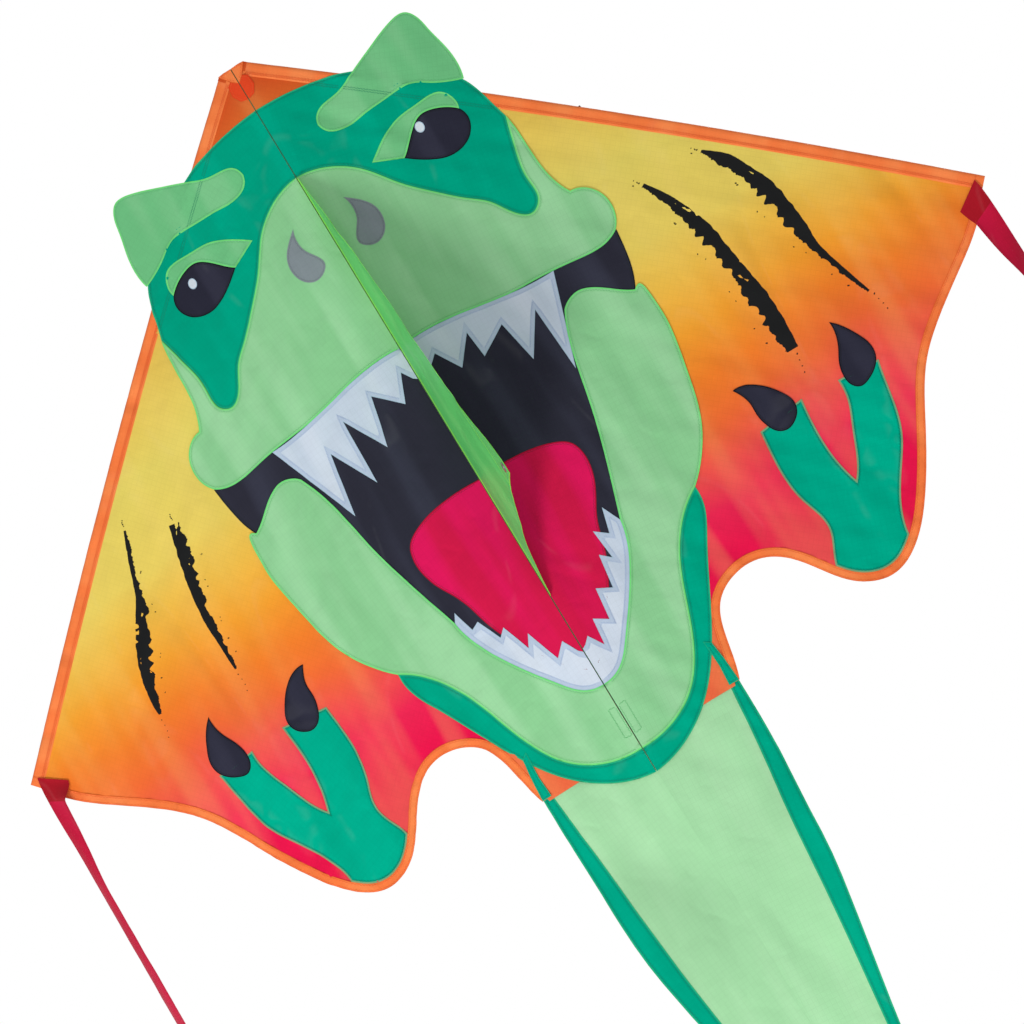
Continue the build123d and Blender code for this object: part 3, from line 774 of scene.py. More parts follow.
@dataclass(frozen=True)
class Cloth:
    """A ripstop cloth.

    Args:
        name: Material name.
        colour: Display colour with parts up to 255.
        streak: Colour of the long soft streaks; the tongue's dark red streaks are painted shade.
        streaks: How strongly the streaks show.
        sheen: Weight of the soft sheen.
        roughness: Roughness of the surface.
        turn: Angle of the weave in degrees.
        patches: How strongly the soft patches show.
        gloss: How strongly the surface mirrors its surroundings.
        crumple: Depth of the soft creases in millimetres.
    """

    name: str
    colour: tuple[float, float, float]
    streak: tuple[float, float, float] | None = None
    streaks: float = 0.3
    sheen: float = 0.04
    roughness: float = 0.5
    turn: float = 0.0
    patches: float = 0.05
    gloss: float = 0.22
    crumple: float = 3.4

    def _base(self, sketch: NodeSketch, where: bpy.types.NodeSocket) -> Tint:
        """Colour of the cloth before its streaks and threads."""
        return linear(self.colour)

    def material(self, effects: SharedEffects) -> bpy.types.Material:
        """Build the material once and give it.

        Args:
            effects: Shared node groups and the materials made so far.

        Returns:
            The material.
        """
        if self.name in effects.finished:
            return effects.finished[self.name]
        made = effects.finished[self.name] = bpy.data.materials.new(self.name)
        made.use_nodes = True
        sketch = NodeSketch(made.node_tree)
        shader = made.node_tree.nodes["Principled BSDF"]
        where = sketch.add("ShaderNodeUVMap", uv_map="cloth").outputs[0]
        weave = sketch.add("ShaderNodeGroup", node_tree=effects.ripstop)
        weave.inputs["Spacing"].default_value = 0.0052
        weave.inputs["Turn"].default_value = math.radians(self.turn)
        sketch.join(where, weave.inputs["Vector"])
        wear = sketch.add("ShaderNodeGroup", node_tree=effects.wear)
        sketch.join(where, wear.inputs["Vector"])
        colour = self._base(sketch, where)
        if self.streak:
            share = sketch.maths("MULTIPLY", wear.outputs["Streaks"], self.streaks)
            colour = sketch.mix(share, colour, linear(self.streak))
        shade = sketch.maths("MULTIPLY", wear.outputs["Patches"], self.patches)
        colour = sketch.mix(shade, colour, (0.0, 0.0, 0.0, 1.0))
        colour = sketch.mix(sketch.maths("MULTIPLY", weave.outputs["Threads"], 0.035), colour,
                            (0.0, 0.0, 0.0, 1.0))
        colour = sketch.mix(sketch.maths("MULTIPLY", wear.outputs["Folds"], 0.012), colour,
                            (1.0, 1.0, 1.0, 1.0))
        sketch.join(colour, shader.inputs["Base Color"])
        rough = sketch.maths("MULTIPLY_ADD", wear.outputs["Patches"], 0.12, self.roughness - 0.06)
        sketch.join(rough, shader.inputs["Roughness"])
        broad = sketch.add("ShaderNodeBump")
        broad.inputs["Strength"].default_value = 0.8
        broad.inputs["Distance"].default_value = self.crumple * MM
        sketch.join(wear.outputs["Creases"], broad.inputs["Height"])
        bump = sketch.add("ShaderNodeBump")
        bump.inputs["Strength"].default_value = 0.2
        bump.inputs["Distance"].default_value = 0.0002
        sketch.join(weave.outputs["Height"], bump.inputs["Height"])
        sketch.join(broad.outputs[0], bump.inputs["Normal"])
        sketch.join(bump.outputs[0], shader.inputs["Normal"])
        shader.inputs["Sheen Weight"].default_value = self.sheen
        shader.inputs["Sheen Roughness"].default_value = 0.4
        shader.inputs["Sheen Tint"].default_value = linear(self.colour)
        shader.inputs["Specular IOR Level"].default_value = self.gloss
        shader.inputs["Specular Tint"].default_value = linear(self.colour)
        return made


@dataclass(frozen=True)
class DyedSail(Cloth):
    """Sail cloth dyed in level bands from yellow to red, orange at the tail's corners."""

    # Near the nose the last two bands turn a darker brownish orange.
    bands: tuple[tuple[float, tuple[float, float, float]], ...] = (
        (-250.0, (226, 12, 70)), (-165.0, (234, 12, 76)), (-120.0, (240, 36, 84)),
        (-80.0, (241, 80, 78)), (-35.0, (240, 106, 54)), (5.0, (241, 126, 44)),
        (50.0, (244, 160, 50)), (95.0, (240, 190, 76)), (140.0, (234, 208, 98)),
        (230.0, (228, 210, 102)), (330.0, (232, 194, 86)), (420.0, (232, 140, 62)),
        (460.0, (220, 106, 46)), (500.0, (212, 80, 36)))

    def _base(self, sketch: NodeSketch, where: bpy.types.NodeSocket) -> Tint:
        """Level bands of dye with soft, uneven joins.

        Args:
            sketch: Node tree of the material.
            where: Place on the pattern, in metres.

        Returns:
            The colour.
        """
        parts = sketch.add("ShaderNodeSeparateXYZ")
        sketch.join(where, parts.inputs[0])
        drift = sketch.noise(where, 6.0, 2.0)
        level = sketch.maths("ADD", parts.outputs[1],
                             sketch.maths("MULTIPLY_ADD", drift, 0.06, -0.03))
        low, high = self.bands[0][0] * MM, self.bands[-1][0] * MM
        share = sketch.add("ShaderNodeMapRange")
        share.inputs["From Min"].default_value = low
        share.inputs["From Max"].default_value = high
        sketch.join(level, share.inputs["Value"])
        dye = sketch.add("ShaderNodeValToRGB")
        stops = dye.color_ramp.elements
        for index, (height, colour) in enumerate(self.bands):
            place = (height * MM - low) / (high - low)
            stop = stops[index] if index < 2 else stops.new(place)
            stop.position = place
            stop.color = linear(colour)
        sketch.join(share.outputs[0], dye.inputs[0])
        beside = sketch.maths("ABSOLUTE", parts.outputs[0])
        corner = sketch.maths("MULTIPLY", sketch.ramp(beside, 0.150, 0.128),
                              sketch.ramp(parts.outputs[1], -0.190, -0.225))
        return sketch.mix(corner, dye.outputs[0], linear((236, 102, 66)))


@dataclass(frozen=True)
class Solid:
    """A plain moulded, drawn, pressed or spun finish with a fine grain of its own.

    Args:
        name: Material name.
        colour: Display colour with parts up to 255.
        roughness: Middle roughness of the surface.
        metallic: One for bare metal.
        grain: Fineness of the grain along x, y and z.
        depth: Strength of the grain's bump.
        coat: Weight of a clear coat.
        gloss: How strongly the surface mirrors its surroundings.
    """

    name: str
    colour: tuple[float, float, float]
    roughness: float
    metallic: float = 0.0
    grain: tuple[float, float, float] = (400.0, 400.0, 400.0)
    depth: float = 0.2
    coat: float = 0.0
    gloss: float = 0.5

    def material(self, effects: SharedEffects) -> bpy.types.Material:
        """Build the material once and give it.

        Args:
            effects: Shared node groups and the materials made so far.

        Returns:
            The material.
        """
        if self.name in effects.finished:
            return effects.finished[self.name]
        made = effects.finished[self.name] = bpy.data.materials.new(self.name)
        made.use_nodes = True
        sketch = NodeSketch(made.node_tree)
        shader = made.node_tree.nodes["Principled BSDF"]
        where = sketch.add("ShaderNodeTexCoord").outputs["Object"]
        squash = sketch.add("ShaderNodeMapping")
        squash.inputs["Scale"].default_value = self.grain
        sketch.join(where, squash.inputs["Vector"])
        grain = sketch.noise(squash.outputs[0], 1.0, 3.0)
        light = tuple(min(1.0, c * 1.3 + 0.004) for c in linear(self.colour)[:3])
        sketch.join(sketch.mix(grain, linear(self.colour), (*light, 1.0)),
                    shader.inputs["Base Color"])
        sketch.join(sketch.maths("MULTIPLY_ADD", grain, 0.2, self.roughness - 0.1),
                    shader.inputs["Roughness"])
        shader.inputs["Metallic"].default_value = self.metallic
        shader.inputs["Coat Weight"].default_value = self.coat
        shader.inputs["Specular IOR Level"].default_value = self.gloss
        bump = sketch.add("ShaderNodeBump")
        bump.inputs["Strength"].default_value = self.depth
        bump.inputs["Distance"].default_value = 0.0002
        sketch.join(grain, bump.inputs["Height"])
        sketch.join(bump.outputs[0], shader.inputs["Normal"])
        return made


def thread(name: str, colour: tuple[float, float, float]) -> Solid:
    """Sewing thread of one colour."""
    return Solid(f"thread_{name}", colour, 0.6, grain=(3000.0, 3000.0, 3000.0), depth=0.4,
                 gloss=0.2)


GREEN_THREAD = thread("green", (84, 172, 104))
DEEP_GREEN_THREAD = thread("deep_green", (0, 112, 88))
ORANGE_THREAD = thread("orange", (214, 86, 36))
WINE_THREAD = thread("wine", (120, 16, 48))


Finish = Cloth | Solid


@dataclass(frozen=True)
class Dress:
    """What a piece of cloth is finished with.

    Args:
        cloth: The cloth itself.
        rim: Cloth or edge shown along the cut.
        band: Doubled cloth behind the stitches.
        sewing: Thread of the stitches.
        rim_width: Width of the rim in millimetres.
        band_width: Depth to which the band reaches.
        stitch_depth: Depth of the row of stitches.
        slot: Material slot of the record; not used.
    """

    cloth: Finish
    rim: Finish
    band: Finish
    sewing: Solid
    slot: str
    rim_width: float = 1.4
    band_width: float = 4.5
    stitch_depth: float = 2.7


class Wardrobe:
    """Every cloth and finish on the kite."""

    ORANGE = Cloth("binding_orange", (246, 124, 66), (255, 160, 96), 0.35, turn=3.0)
    ORANGE_EDGE = Cloth("binding_fold", (232, 104, 48))
    SAIL = DyedSail("sail_dyed", (240, 160, 60), (255, 222, 130), 0.10, turn=41.0)
    DARK = Cloth("crown_green", (0, 160, 128), (0, 178, 146), 0.4, turn=12.0)
    DARK_RIM = Cloth("crown_green_rim", (40, 174, 126))
    DARK_BAND = Cloth("crown_green_doubled", (0, 156, 124), (0, 172, 140), 0.4)
    LIGHT = Cloth("face_green", (139, 203, 146), (168, 222, 172), 0.55, turn=5.0)
    LIGHT_RIM = Cloth("face_green_rim", (116, 222, 124))
    LIGHT_BAND = Cloth("face_green_doubled", (136, 203, 142), (162, 218, 166), 0.5)
    HORN = Cloth("horn_green", (112, 194, 132), (140, 208, 152), 0.5, turn=25.0)
    HAND = Cloth("hand_green", (0, 172, 140), (0, 150, 120), 0.35, turn=20.0)
    HAND_RIM = Cloth("hand_green_rim", (128, 160, 118))
    HAND_BAND = Cloth("hand_green_doubled", (0, 160, 130))
    MOUTH = Cloth("mouth_black", (46, 46, 58), (70, 72, 90), 0.4, turn=8.0)
    MOUTH_RIM = Cloth("mouth_black_rim", (30, 34, 40))
    # The tongue's dark red streaks are painted shade: its colour where the keel's shadow falls on
    # it.
    TONGUE = Cloth("tongue_red", (226, 26, 92), (196, 28, 50), 0.55, turn=6.0)
    TONGUE_RIM = Cloth("tongue_red_rim", (176, 24, 52))
    TOOTH = Cloth("tooth_white", (198, 210, 226), (222, 230, 240), 0.5, turn=2.0)
    TOOTH_BAND = Cloth("tooth_white_doubled", (184, 199, 220))
    TOOTH_RIM = Cloth("tooth_white_rim", (172, 196, 216))
    BLACK = Cloth("claw_black", (44, 44, 58), (66, 66, 84), 0.4, turn=15.0)
    BLACK_RIM = Cloth("claw_black_rim", (24, 26, 34))
    NOSTRIL = Cloth("nostril_grey", (132, 142, 148), (150, 160, 166), 0.3)
    KEEL = Cloth("keel_green", (94, 198, 106), (124, 214, 122), 0.5, turn=30.0)
    KEEL_RIM = Cloth("keel_green_rim", (140, 232, 90))
    TAIL = Cloth("tail_green", (162, 216, 164), (178, 226, 178), 0.4, turn=4.0)
    CRIMSON = Cloth("streamer_crimson", (208, 28, 68), (180, 26, 50), 0.5)
    CRIMSON_RIM = Cloth("streamer_crimson_fold", (190, 26, 60))
    CRIMSON_END = Cloth("streamer_end_crimson", (176, 28, 42), (150, 24, 36), 0.6)
    INK = Solid("scratch_ink", (20, 21, 22), 0.7, grain=(900.0, 900.0, 900.0), depth=0.1,
                gloss=0.1)
    GLINT = Solid("eye_glint", (196, 206, 214), 0.4, grain=(600.0, 600.0, 600.0), depth=0.1)
    SEAM_TAPE = Cloth("seam_tape", (58, 120, 84))
    NOSE = Cloth("nose_red_webbing", (228, 66, 34), (240, 92, 50), 0.4, turn=45.0)
    ROD = Solid("rod_glass_fibre", (22, 22, 25), 0.32, grain=(900.0, 900.0, 40.0), coat=0.3)
    VINYL = Solid("vinyl_black", (26, 26, 28), 0.55, grain=(500.0, 500.0, 500.0))
    METAL = Solid("eyelet_nickel", (196, 198, 202), 0.3, 1.0, grain=(1500.0, 1500.0, 1500.0))
    LOOPS = Solid("loop_tape", (30, 32, 34), 0.95, grain=(2600.0, 2600.0, 2600.0), depth=1.0)

    def __init__(self) -> None:
        """Sort the cloths into the dresses that pieces wear."""
        self.sail = Dress(self.SAIL, self.SAIL, self.SAIL, thread("amber", (214, 120, 40)),
                          "sail_cloth", 0.0, 0.0, 0.0)
        self.binding = Dress(self.ORANGE, self.ORANGE_EDGE, self.ORANGE,
                             ORANGE_THREAD, "edge_binding", 0.7, 3.0, 1.7)
        self.dark = Dress(self.DARK, self.DARK_RIM, self.DARK_BAND, DEEP_GREEN_THREAD,
                          "dark_green_cloth")
        self.light = Dress(self.LIGHT, self.LIGHT_RIM, self.LIGHT_BAND, GREEN_THREAD,
                           "light_green_cloth")
        self.horn = Dress(self.HORN, self.LIGHT_RIM, self.HORN, GREEN_THREAD,
                          "light_green_cloth")
        self.hand = Dress(self.HAND, self.HAND_RIM, self.HAND_BAND,
                          thread("forest", (0, 92, 66)), "hand_green_cloth", 1.6, 4.0, 2.6)
        self.mouth = Dress(self.MOUTH, self.MOUTH_RIM, self.MOUTH, thread("ink", (20, 28, 34)),
                           "mouth_cloth")
        self.tongue = Dress(self.TONGUE, self.TONGUE_RIM, self.TONGUE,
                            WINE_THREAD, "tongue_cloth", 1.2, 4.0, 2.4)
        self.tooth = Dress(self.TOOTH, self.TOOTH_RIM, self.TOOTH_BAND,
                           thread("slate", (150, 168, 198)), "tooth_cloth", 0.8, 4.8, 3.8)
        self.black = Dress(self.BLACK, self.BLACK_RIM, self.BLACK,
                           thread("night", (14, 16, 22)), "black_cloth", 1.2, 3.0, 2.2)
        self.nostril = Dress(self.NOSTRIL, self.NOSTRIL, self.NOSTRIL,
                             thread("ash", (96, 106, 110)), "nostril_cloth", 0.0, 3.0, 1.6)
        self.keel = Dress(self.KEEL, self.KEEL_RIM, self.KEEL, GREEN_THREAD, "keel_cloth",
                          1.6, 8.0, 4.5)
        self.tail = Dress(self.TAIL, self.LIGHT_RIM, self.TAIL, GREEN_THREAD,
                          "light_green_cloth")
        self.strip = Dress(self.DARK, self.DARK_RIM, self.DARK, DEEP_GREEN_THREAD,
                           "dark_green_cloth", 0.5, 3.0, 1.8)
        self.nose = Dress(self.NOSE, self.NOSE, self.NOSE, ORANGE_THREAD, "nose_webbing",
                          0.6, 3.0, 1.8)


# ---------------------------------------------------------------------------- making pieces


class Workshop:
    """Turns flat cuts and rows of stitches into finished pieces."""

    STITCH = 3.3
    STITCH_SWING = 0.45
    STITCH_WIDTH = 0.3

    def __init__(self) -> None:
        """Open the workshop with its shared effects and cloths."""
        self.effects = SharedEffects()
        self.wardrobe = Wardrobe()

    def mesh_piece(self, name: str, places: np.ndarray, faces: list, flat: np.ndarray,
                   finishes: list[Finish], indexes: list[int], front: Vector | None = None
                   ) -> bpy.types.Object:
        """Make an object from finished vertices.

        Args:
            name: Name of the piece.
            places: Vertices in metres.
            faces: Vertex numbers of each face.
            flat: Pattern place of each vertex in millimetres, used as its texture place.
            finishes: Cloths or solids, one for each material slot.
            indexes: Material slot of each face.
            front: Way that most faces look, where the order of vertices doesn't say.

        Returns:
            The object.
        """
        mesh = bpy.data.meshes.new(name)
        mesh.from_pydata([tuple(place) for place in places], [], [tuple(f) for f in faces])
        layer = mesh.uv_layers.new(name="cloth")
        corner = np.zeros(len(mesh.loops), dtype=int)
        mesh.loops.foreach_get("vertex_index", corner)
        layer.data.foreach_set("uv", (flat[corner] * MM).ravel())
        for finish in finishes:
            mesh.materials.append(finish.material(self.effects))
        mesh.polygons.foreach_set("material_index", indexes)
        mesh.polygons.foreach_set("use_smooth", [True] * len(mesh.polygons))
        mesh.update()
        if front is not None and sum(p.normal.dot(front) * p.area for p in mesh.polygons) < 0:
            mesh.flip_normals()
        piece = bpy.data.objects.new(name, mesh)
        bpy.context.collection.objects.link(piece)
        return piece

    def stitches(self, runs: list[np.ndarray]) -> tuple[np.ndarray, np.ndarray, list]:
        """Lay zigzag stitches along flat lines.

        Args:
            runs: Lines in millimetres.

        Returns:
            Flat points, how far each stands proud, and the faces.
        """
        points: list[np.ndarray] = []
        proud: list[float] = []
        faces: list[tuple[int, ...]] = []
        for run in runs:
            gaps = np.linalg.norm(np.diff(run, axis=0), axis=1)
            reach = np.concatenate([[0.0], np.cumsum(gaps)])
            marks = np.arange(0.5, reach[-1] - 0.5, self.STITCH * 0.5)
            line = np.stack([np.interp(marks, reach, run[:, i]) for i in (0, 1)], axis=1)
            if len(line) < 3:
                continue
            way = np.gradient(line, axis=0)
            way /= np.maximum(np.linalg.norm(way, axis=1), 1e-9)[:, None]
            cross = np.stack([-way[:, 1], way[:, 0]], axis=1)
            for i in range(0, len(line) - 1):
                swing = self.STITCH_SWING * (1 if i % 2 else -1)
                start = line[i] + cross[i] * swing + way[i] * 0.25
                end = line[i + 1] - cross[i + 1] * swing - way[i + 1] * 0.25
                side = cross[i] * self.STITCH_WIDTH
                first = len(points)
                points += [start - side, start, start + side, end - side, end, end + side]
                proud += [0.02, 0.26, 0.02, 0.02, 0.26, 0.02]
                faces += [(first, first + 1, first + 4, first + 3),
                          (first + 1, first + 2, first + 5, first + 4)]
        return np.array(points).reshape(-1, 2), np.array(proud), faces

    def sew(self, name: str, cut: Cut, dress: Dress, layout: Layout, shape: Shape,
            level: float, rows: list[np.ndarray] | None = None, pull: float = 0.0,
            meet: float = 0.5) -> bpy.types.Object:
        """Sew one piece of cloth with its rim, doubled band and stitches.

        Args:
            name: Name of the piece.
            cut: The cut cloth.
            dress: Its finishes.
            layout: Pattern plane that it stands on.
            shape: How the cloth hangs.
            level: Layers of cloth under it.
            rows: Lines of stitches, instead of one row inside the outline.
            pull: Points nearer to the seam than this are drawn in to meet it.
            meet: How far from the seam they are drawn to.

        Returns:
            The piece.
        """
        if rows is None:
            rows = self.row_inside(cut.region, dress.stitch_depth)
        sewn, proud, stitch_faces = self.stitches(rows)
        flat = np.concatenate([cut.points, sewn]) if len(sewn) else cut.points
        placed = flat.copy()
        if pull:
            placed[:, 0] = np.where(placed[:, 0] < pull, meet, placed[:, 0])
        rise = shape.rise(placed, level)
        if len(sewn):
            rise[len(cut.points):] += proud
        indexes = np.where(cut.depths < dress.rim_width, 1,
                           np.where(cut.depths < dress.band_width, 2, 0)).tolist()
        faces = cut.faces.tolist() + [tuple(i + len(cut.points) for i in f) for f in stitch_faces]
        piece = self.mesh_piece(name, layout.place(placed, rise), faces, flat,
                                [dress.cloth, dress.rim, dress.band, dress.sewing],
                                indexes + [3] * len(stitch_faces), layout.front)
        return piece

    @staticmethod
    def row_inside(region: Region, depth: float, clear: float = 4.0) -> list[np.ndarray]:
        """Stitch line at a depth inside an outline, left out along the seam.

        Args:
            region: Outline of the cloth.
            depth: How far inside; nought for no stitches.
            clear: Stitches stop this far from the seam.

        Returns:
            The lines.
        """
        rows = []
        for run in region.inset(depth) if depth else []:
            keep = run[:, 0] > clear + 1.0
            for part in np.split(run, np.flatnonzero(np.diff(keep)) + 1):
                if part[0][0] > clear and len(part) > 2:
                    rows.append(part)
        return rows

    @staticmethod
    def declare(piece: bpy.types.Object, cut: Cut, held: Held, rests_on: list) -> None:
        """Take a sheet of cloth and do nothing with it."""


@dataclass(frozen=True)
class Patch:
    """One cloth piece of the face: its measured piece, dress, layer and cut-away windows."""

    node: str
    dress: str
    level: float
    windows: tuple[str, ...] = ()


@dataclass
class Wing:
    """One wing: sail, bound edges, face, hand, claws and their stitching.

    Args:
        side: Which half of the kite.
        shop: Workshop that makes its pieces.
        seam_pull: Cloth nearer to the seam than this is drawn in to it, in millimetres.
        connector_at: Where the connector sits, as a share of the leading edge.
        window_half: Half the length of the sleeve's opening behind the connector.
        sleeve_cut: Width of the strip that the sleeve is folded from; not used.
        patches: Cloth pieces of the face, the lowest first.
    """

    # Section of the leading sleeve: reach outward from the edge and height, front first.
    SLEEVE_PROFILE = ((-15.4, 0.45), (-12.0, 0.50), (-9.0, 0.75), (-6.8, 1.35), (-4.4, 1.75),
                      (-2.2, 1.2), (-1.0, -0.4), (-0.9, -3.6), (-2.0, -6.4), (-4.4, -7.7),
                      (-6.9, -6.5), (-8.6, -3.9), (-11.0, -1.5), (-13.2, -0.6), (-15.4, -0.25))
    SLEEVE_FRONT = 7

    side: Side
    shop: Workshop
    seam_pull: float = 2.8
    connector_at: float = 0.455
    window_half: float = 19.0
    sleeve_cut: float = 42.0
    patches: tuple[Patch, ...] = (
        Patch("mouth_lining", "mouth", 1, ("tongue", "upper_teeth", "lower_teeth")),
        Patch("crown", "dark", 1, ("horn", "eye", "eyelid")),
        Patch("chin_band", "dark", 1),
        Patch("hand", "hand", 1),
        Patch("horn", "horn", 2),
        Patch("tongue", "tongue", 2),
        Patch("eyelid", "horn", 2),
        Patch("eye", "black", 2),
        Patch("claws", "black", 2),
        Patch("upper_teeth", "tooth", 3),
        Patch("lower_teeth", "tooth", 3),
        Patch("snout", "light", 4, ("nostril",)),
        Patch("lower_jaw", "light", 4),
        Patch("nostril", "nostril", 5),
    )
    layout: Layout = field(init=False)
    shape: WingShape = field(init=False)

    def __post_init__(self) -> None:
        """Read the outlines of this side."""
        self.layout = wing_layout(self.side)
        self.shape = WingShape(self.side, self.outline("trailing_hem"))
        self.body = f"{self.side.prefix}_wing"
        self.made: dict[str, bpy.types.Object] = {}

    def outline(self, piece: str) -> Region:
        """Outline of one measured piece of this wing."""
        return Region.of_node(f"{self.side.prefix}_{piece}", wing_layout(self.side))

    def finish(self, piece: bpy.types.Object, node: str | None, cut: Cut,
               rests_on: list | None = None) -> bpy.types.Object:
        """Args:
            piece: The finished piece.
            node: Measured piece that it stands for, if any.
            cut: What it was cut from; not used.
            rests_on: Pieces that hold it, instead of the wing's two rods; not used.

        Returns:
            The piece.
        """
        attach(piece, self.body)
        if node:
            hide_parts(f"{self.side.prefix}_{node}")
            self.made[node] = piece
        self.shop.declare(piece, cut, Held.STRETCHED,
                          rests_on or [f"{self.side.prefix}_leading_spar", "spine_rod"])
        LOG.info("piece %s", piece.name)
        return piece

    def sail(self) -> None:
        """Main cloth, cut away behind the face and the hand."""
        behind = ("crown", "snout", "mouth_lining", "lower_jaw", "hand")
        loops = []
        for loop in self.outline("sail_panel").grown(3.0).loops:
            loop[:, 1] = np.minimum(loop[:, 1], self.shape.NOSE[1] - 0.3)
            inward = self.shape.centre - loop
            inward /= np.linalg.norm(inward, axis=1)[:, None]
            outside = np.maximum(1.0 - self.shape.edge_depth(loop), 0.0)
            loops.append(loop + inward * outside[:, None])
        cut = Cut(Region(loops), (), 8.0, tuple(self.outline(name) for name in behind))
        dress = self.shop.wardrobe.sail
        piece = self.shop.sew(f"{self.side.prefix}_sail", cut, dress, self.layout, self.shape,
                              -0.6, rows=[], pull=self.seam_pull)
        self.finish(piece, "sail_panel", cut)

    def hem(self) -> None:
        """Folded binding along the scalloped trailing edge, stitched along both edges."""
        region = self.outline("trailing_hem")
        cut = Cut(region, (0.7, 1.7, 3.2), 3.0)
        piece = self.shop.sew(f"{self.side.prefix}_hem", cut, self.shop.wardrobe.binding,
                              self.layout, self.shape, 0.9)
        self.finish(piece, "trailing_hem", cut, [self.made["sail_panel"]])

    def face(self) -> None:
        """Cloth pieces of the face, hand and claws in their layers."""
        for patch in self.patches:
            dress = getattr(self.shop.wardrobe, patch.dress)
            rings = tuple(r for r in (dress.rim_width, dress.band_width) if r)
            windows = tuple(self.outline(name) for name in patch.windows)
            cut = Cut(self.outline(patch.node), rings, 6.0, windows)
            piece = self.shop.sew(f"{self.side.prefix}_{patch.node}_cloth", cut, dress,
                                  self.layout, self.shape, patch.level, pull=self.seam_pull)
            self.finish(piece, patch.node, cut, [self.made["sail_panel"]])

    def _sleeve_tube(self) -> tuple[np.ndarray, np.ndarray, np.ndarray, list[tuple[int, ...]]]:
        """Cloth of the leading-edge sleeve, open behind the connector.

        Returns:
            Pattern points, their height, their place on the flat cloth, and the faces.
        """
        around, length = len(self.SLEEVE_PROFILE), self.shape.length
        stations = np.minimum(np.arange(0.0, length + 2.0, 4.0), length)
        spots, rises, flat, faces = [], [], [], []
        for row, along in enumerate(stations):
            full = float(0.25 + 0.75 * smooth(min(along, length - along) / 26.0))
            for column, (reach, lift) in enumerate(self.SLEEVE_PROFILE):
                crimp = noise.noise(Vector((along / 9.0, column * 0.9, self.side.value)))
                fold = noise.noise(Vector((along / 60.0, column * 0.35, 5.0 * self.side.value)))
                inner = smooth((15.4 + reach) / 3.0)
                spots.append(self.shape.edge_point(along, -reach))
                rises.append(lift * full + inner * (0.28 * crimp + 0.4 * fold))
                flat.append((along, reach if column < self.SLEEVE_FRONT else -30.0 - reach))
            if not row:
                continue
            middle = (along + stations[row - 1]) / 2
            opened = abs(middle - length * self.connector_at) < self.window_half
            first = (row - 1) * around
            for column in range(around):
                if opened and self.SLEEVE_FRONT <= column < around - 1:
                    continue
                after = (column + 1) % around
                faces.append((first + column, first + after, first + after + around,
                              first + column + around))
        return np.array(spots), np.array(rises), np.array(flat), faces

    def sleeve(self) -> None:
        """Sew the leading-edge sleeve round its spar, under the crown and the horn."""
        tube, tube_rise, tube_flat, faces = self._sleeve_tube()
        count, length = len(tube), self.shape.length
        rows = [np.array([self.shape.edge_point(along, depth)
                          for along in np.arange(3.0, length, 4.0)]) for depth in (13.2, 11.6)]
        rows.append(np.array([self.shape.edge_point(length - 9.0, depth)
                              for depth in np.arange(2.0, 14.0, 1.0)]))
        sewn, proud, stitch_faces = self.shop.stitches(rows)
        over_tube = np.interp(self.shape.edge_depth(sewn), [0.0, 2.2, 4.4, 6.8, 9.0, 15.0],
                              [0, 1.4, 2.0, 1.6, 1.0, 0.6])
        spots = np.concatenate([tube, sewn])
        rise = np.concatenate([tube_rise, over_tube + proud])
        numbers = np.arange(len(spots))
        in_front = (numbers % len(self.SLEEVE_PROFILE) < self.SLEEVE_FRONT) | (numbers >= count)
        under = in_front & (self.outline("crown").holds(spots) | self.outline("horn").holds(spots))
        rise[under] = np.minimum(rise[under], self.shape.rise(spots, 1)[under] - 0.9)
        indexes = [0] * len(faces) + [3] * len(stitch_faces)
        faces += [tuple(i + count for i in face) for face in stitch_faces]
        dress = self.shop.wardrobe.binding
        piece = self.shop.mesh_piece(f"{self.side.prefix}_sleeve", self.layout.place(spots, rise),
                                     faces, np.concatenate([tube_flat, sewn]),
                                     [dress.cloth, dress.rim, dress.band, dress.sewing], indexes)
        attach(piece, self.body)
        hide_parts(f"{self.side.prefix}_leading_sleeve")
        LOG.info("piece %s", piece.name)

    def sleeve_shadow(self) -> None:
        """Painted shade: deep-green thread lines on the crown and the horn, standing for the
        sleeve's stitches showing through them.
        """
        crown, horn = self.outline("crown"), self.outline("horn")
        rows = {"crown": [], "horn": []}
        for depth in (14.2, 16.4):
            line = np.array([self.shape.edge_point(a, depth) for a in np.arange(8.0, 330.0, 3.0)])
            on_horn = horn.holds(line)
            on_crown = crown.holds(line) & ~on_horn
            for name, keep in (("crown", on_crown), ("horn", on_horn)):
                for part in np.split(line, np.flatnonzero(np.diff(keep)) + 1):
                    if len(part) > 3 and (crown if name == "crown" else horn).holds(part).all():
                        rows[name].append(part)
        for name, level in (("crown", 1), ("horn", 2)):
            sewn, proud, faces = self.shop.stitches(rows[name])
            if not faces:
                continue
            rise = self.shape.rise(sewn, level) + proud
            # These thread lines are painted shade of the sleeve's stitches seen through the cloth.
            piece = self.shop.mesh_piece(f"{self.side.prefix}_{name}_sleeve_stitches",
                                         self.layout.place(sewn, rise), faces, sewn,
                                         [DEEP_GREEN_THREAD], [0] * len(faces),
                                         self.layout.front)
            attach(piece, self.body)
            LOG.info("piece %s", piece.name)

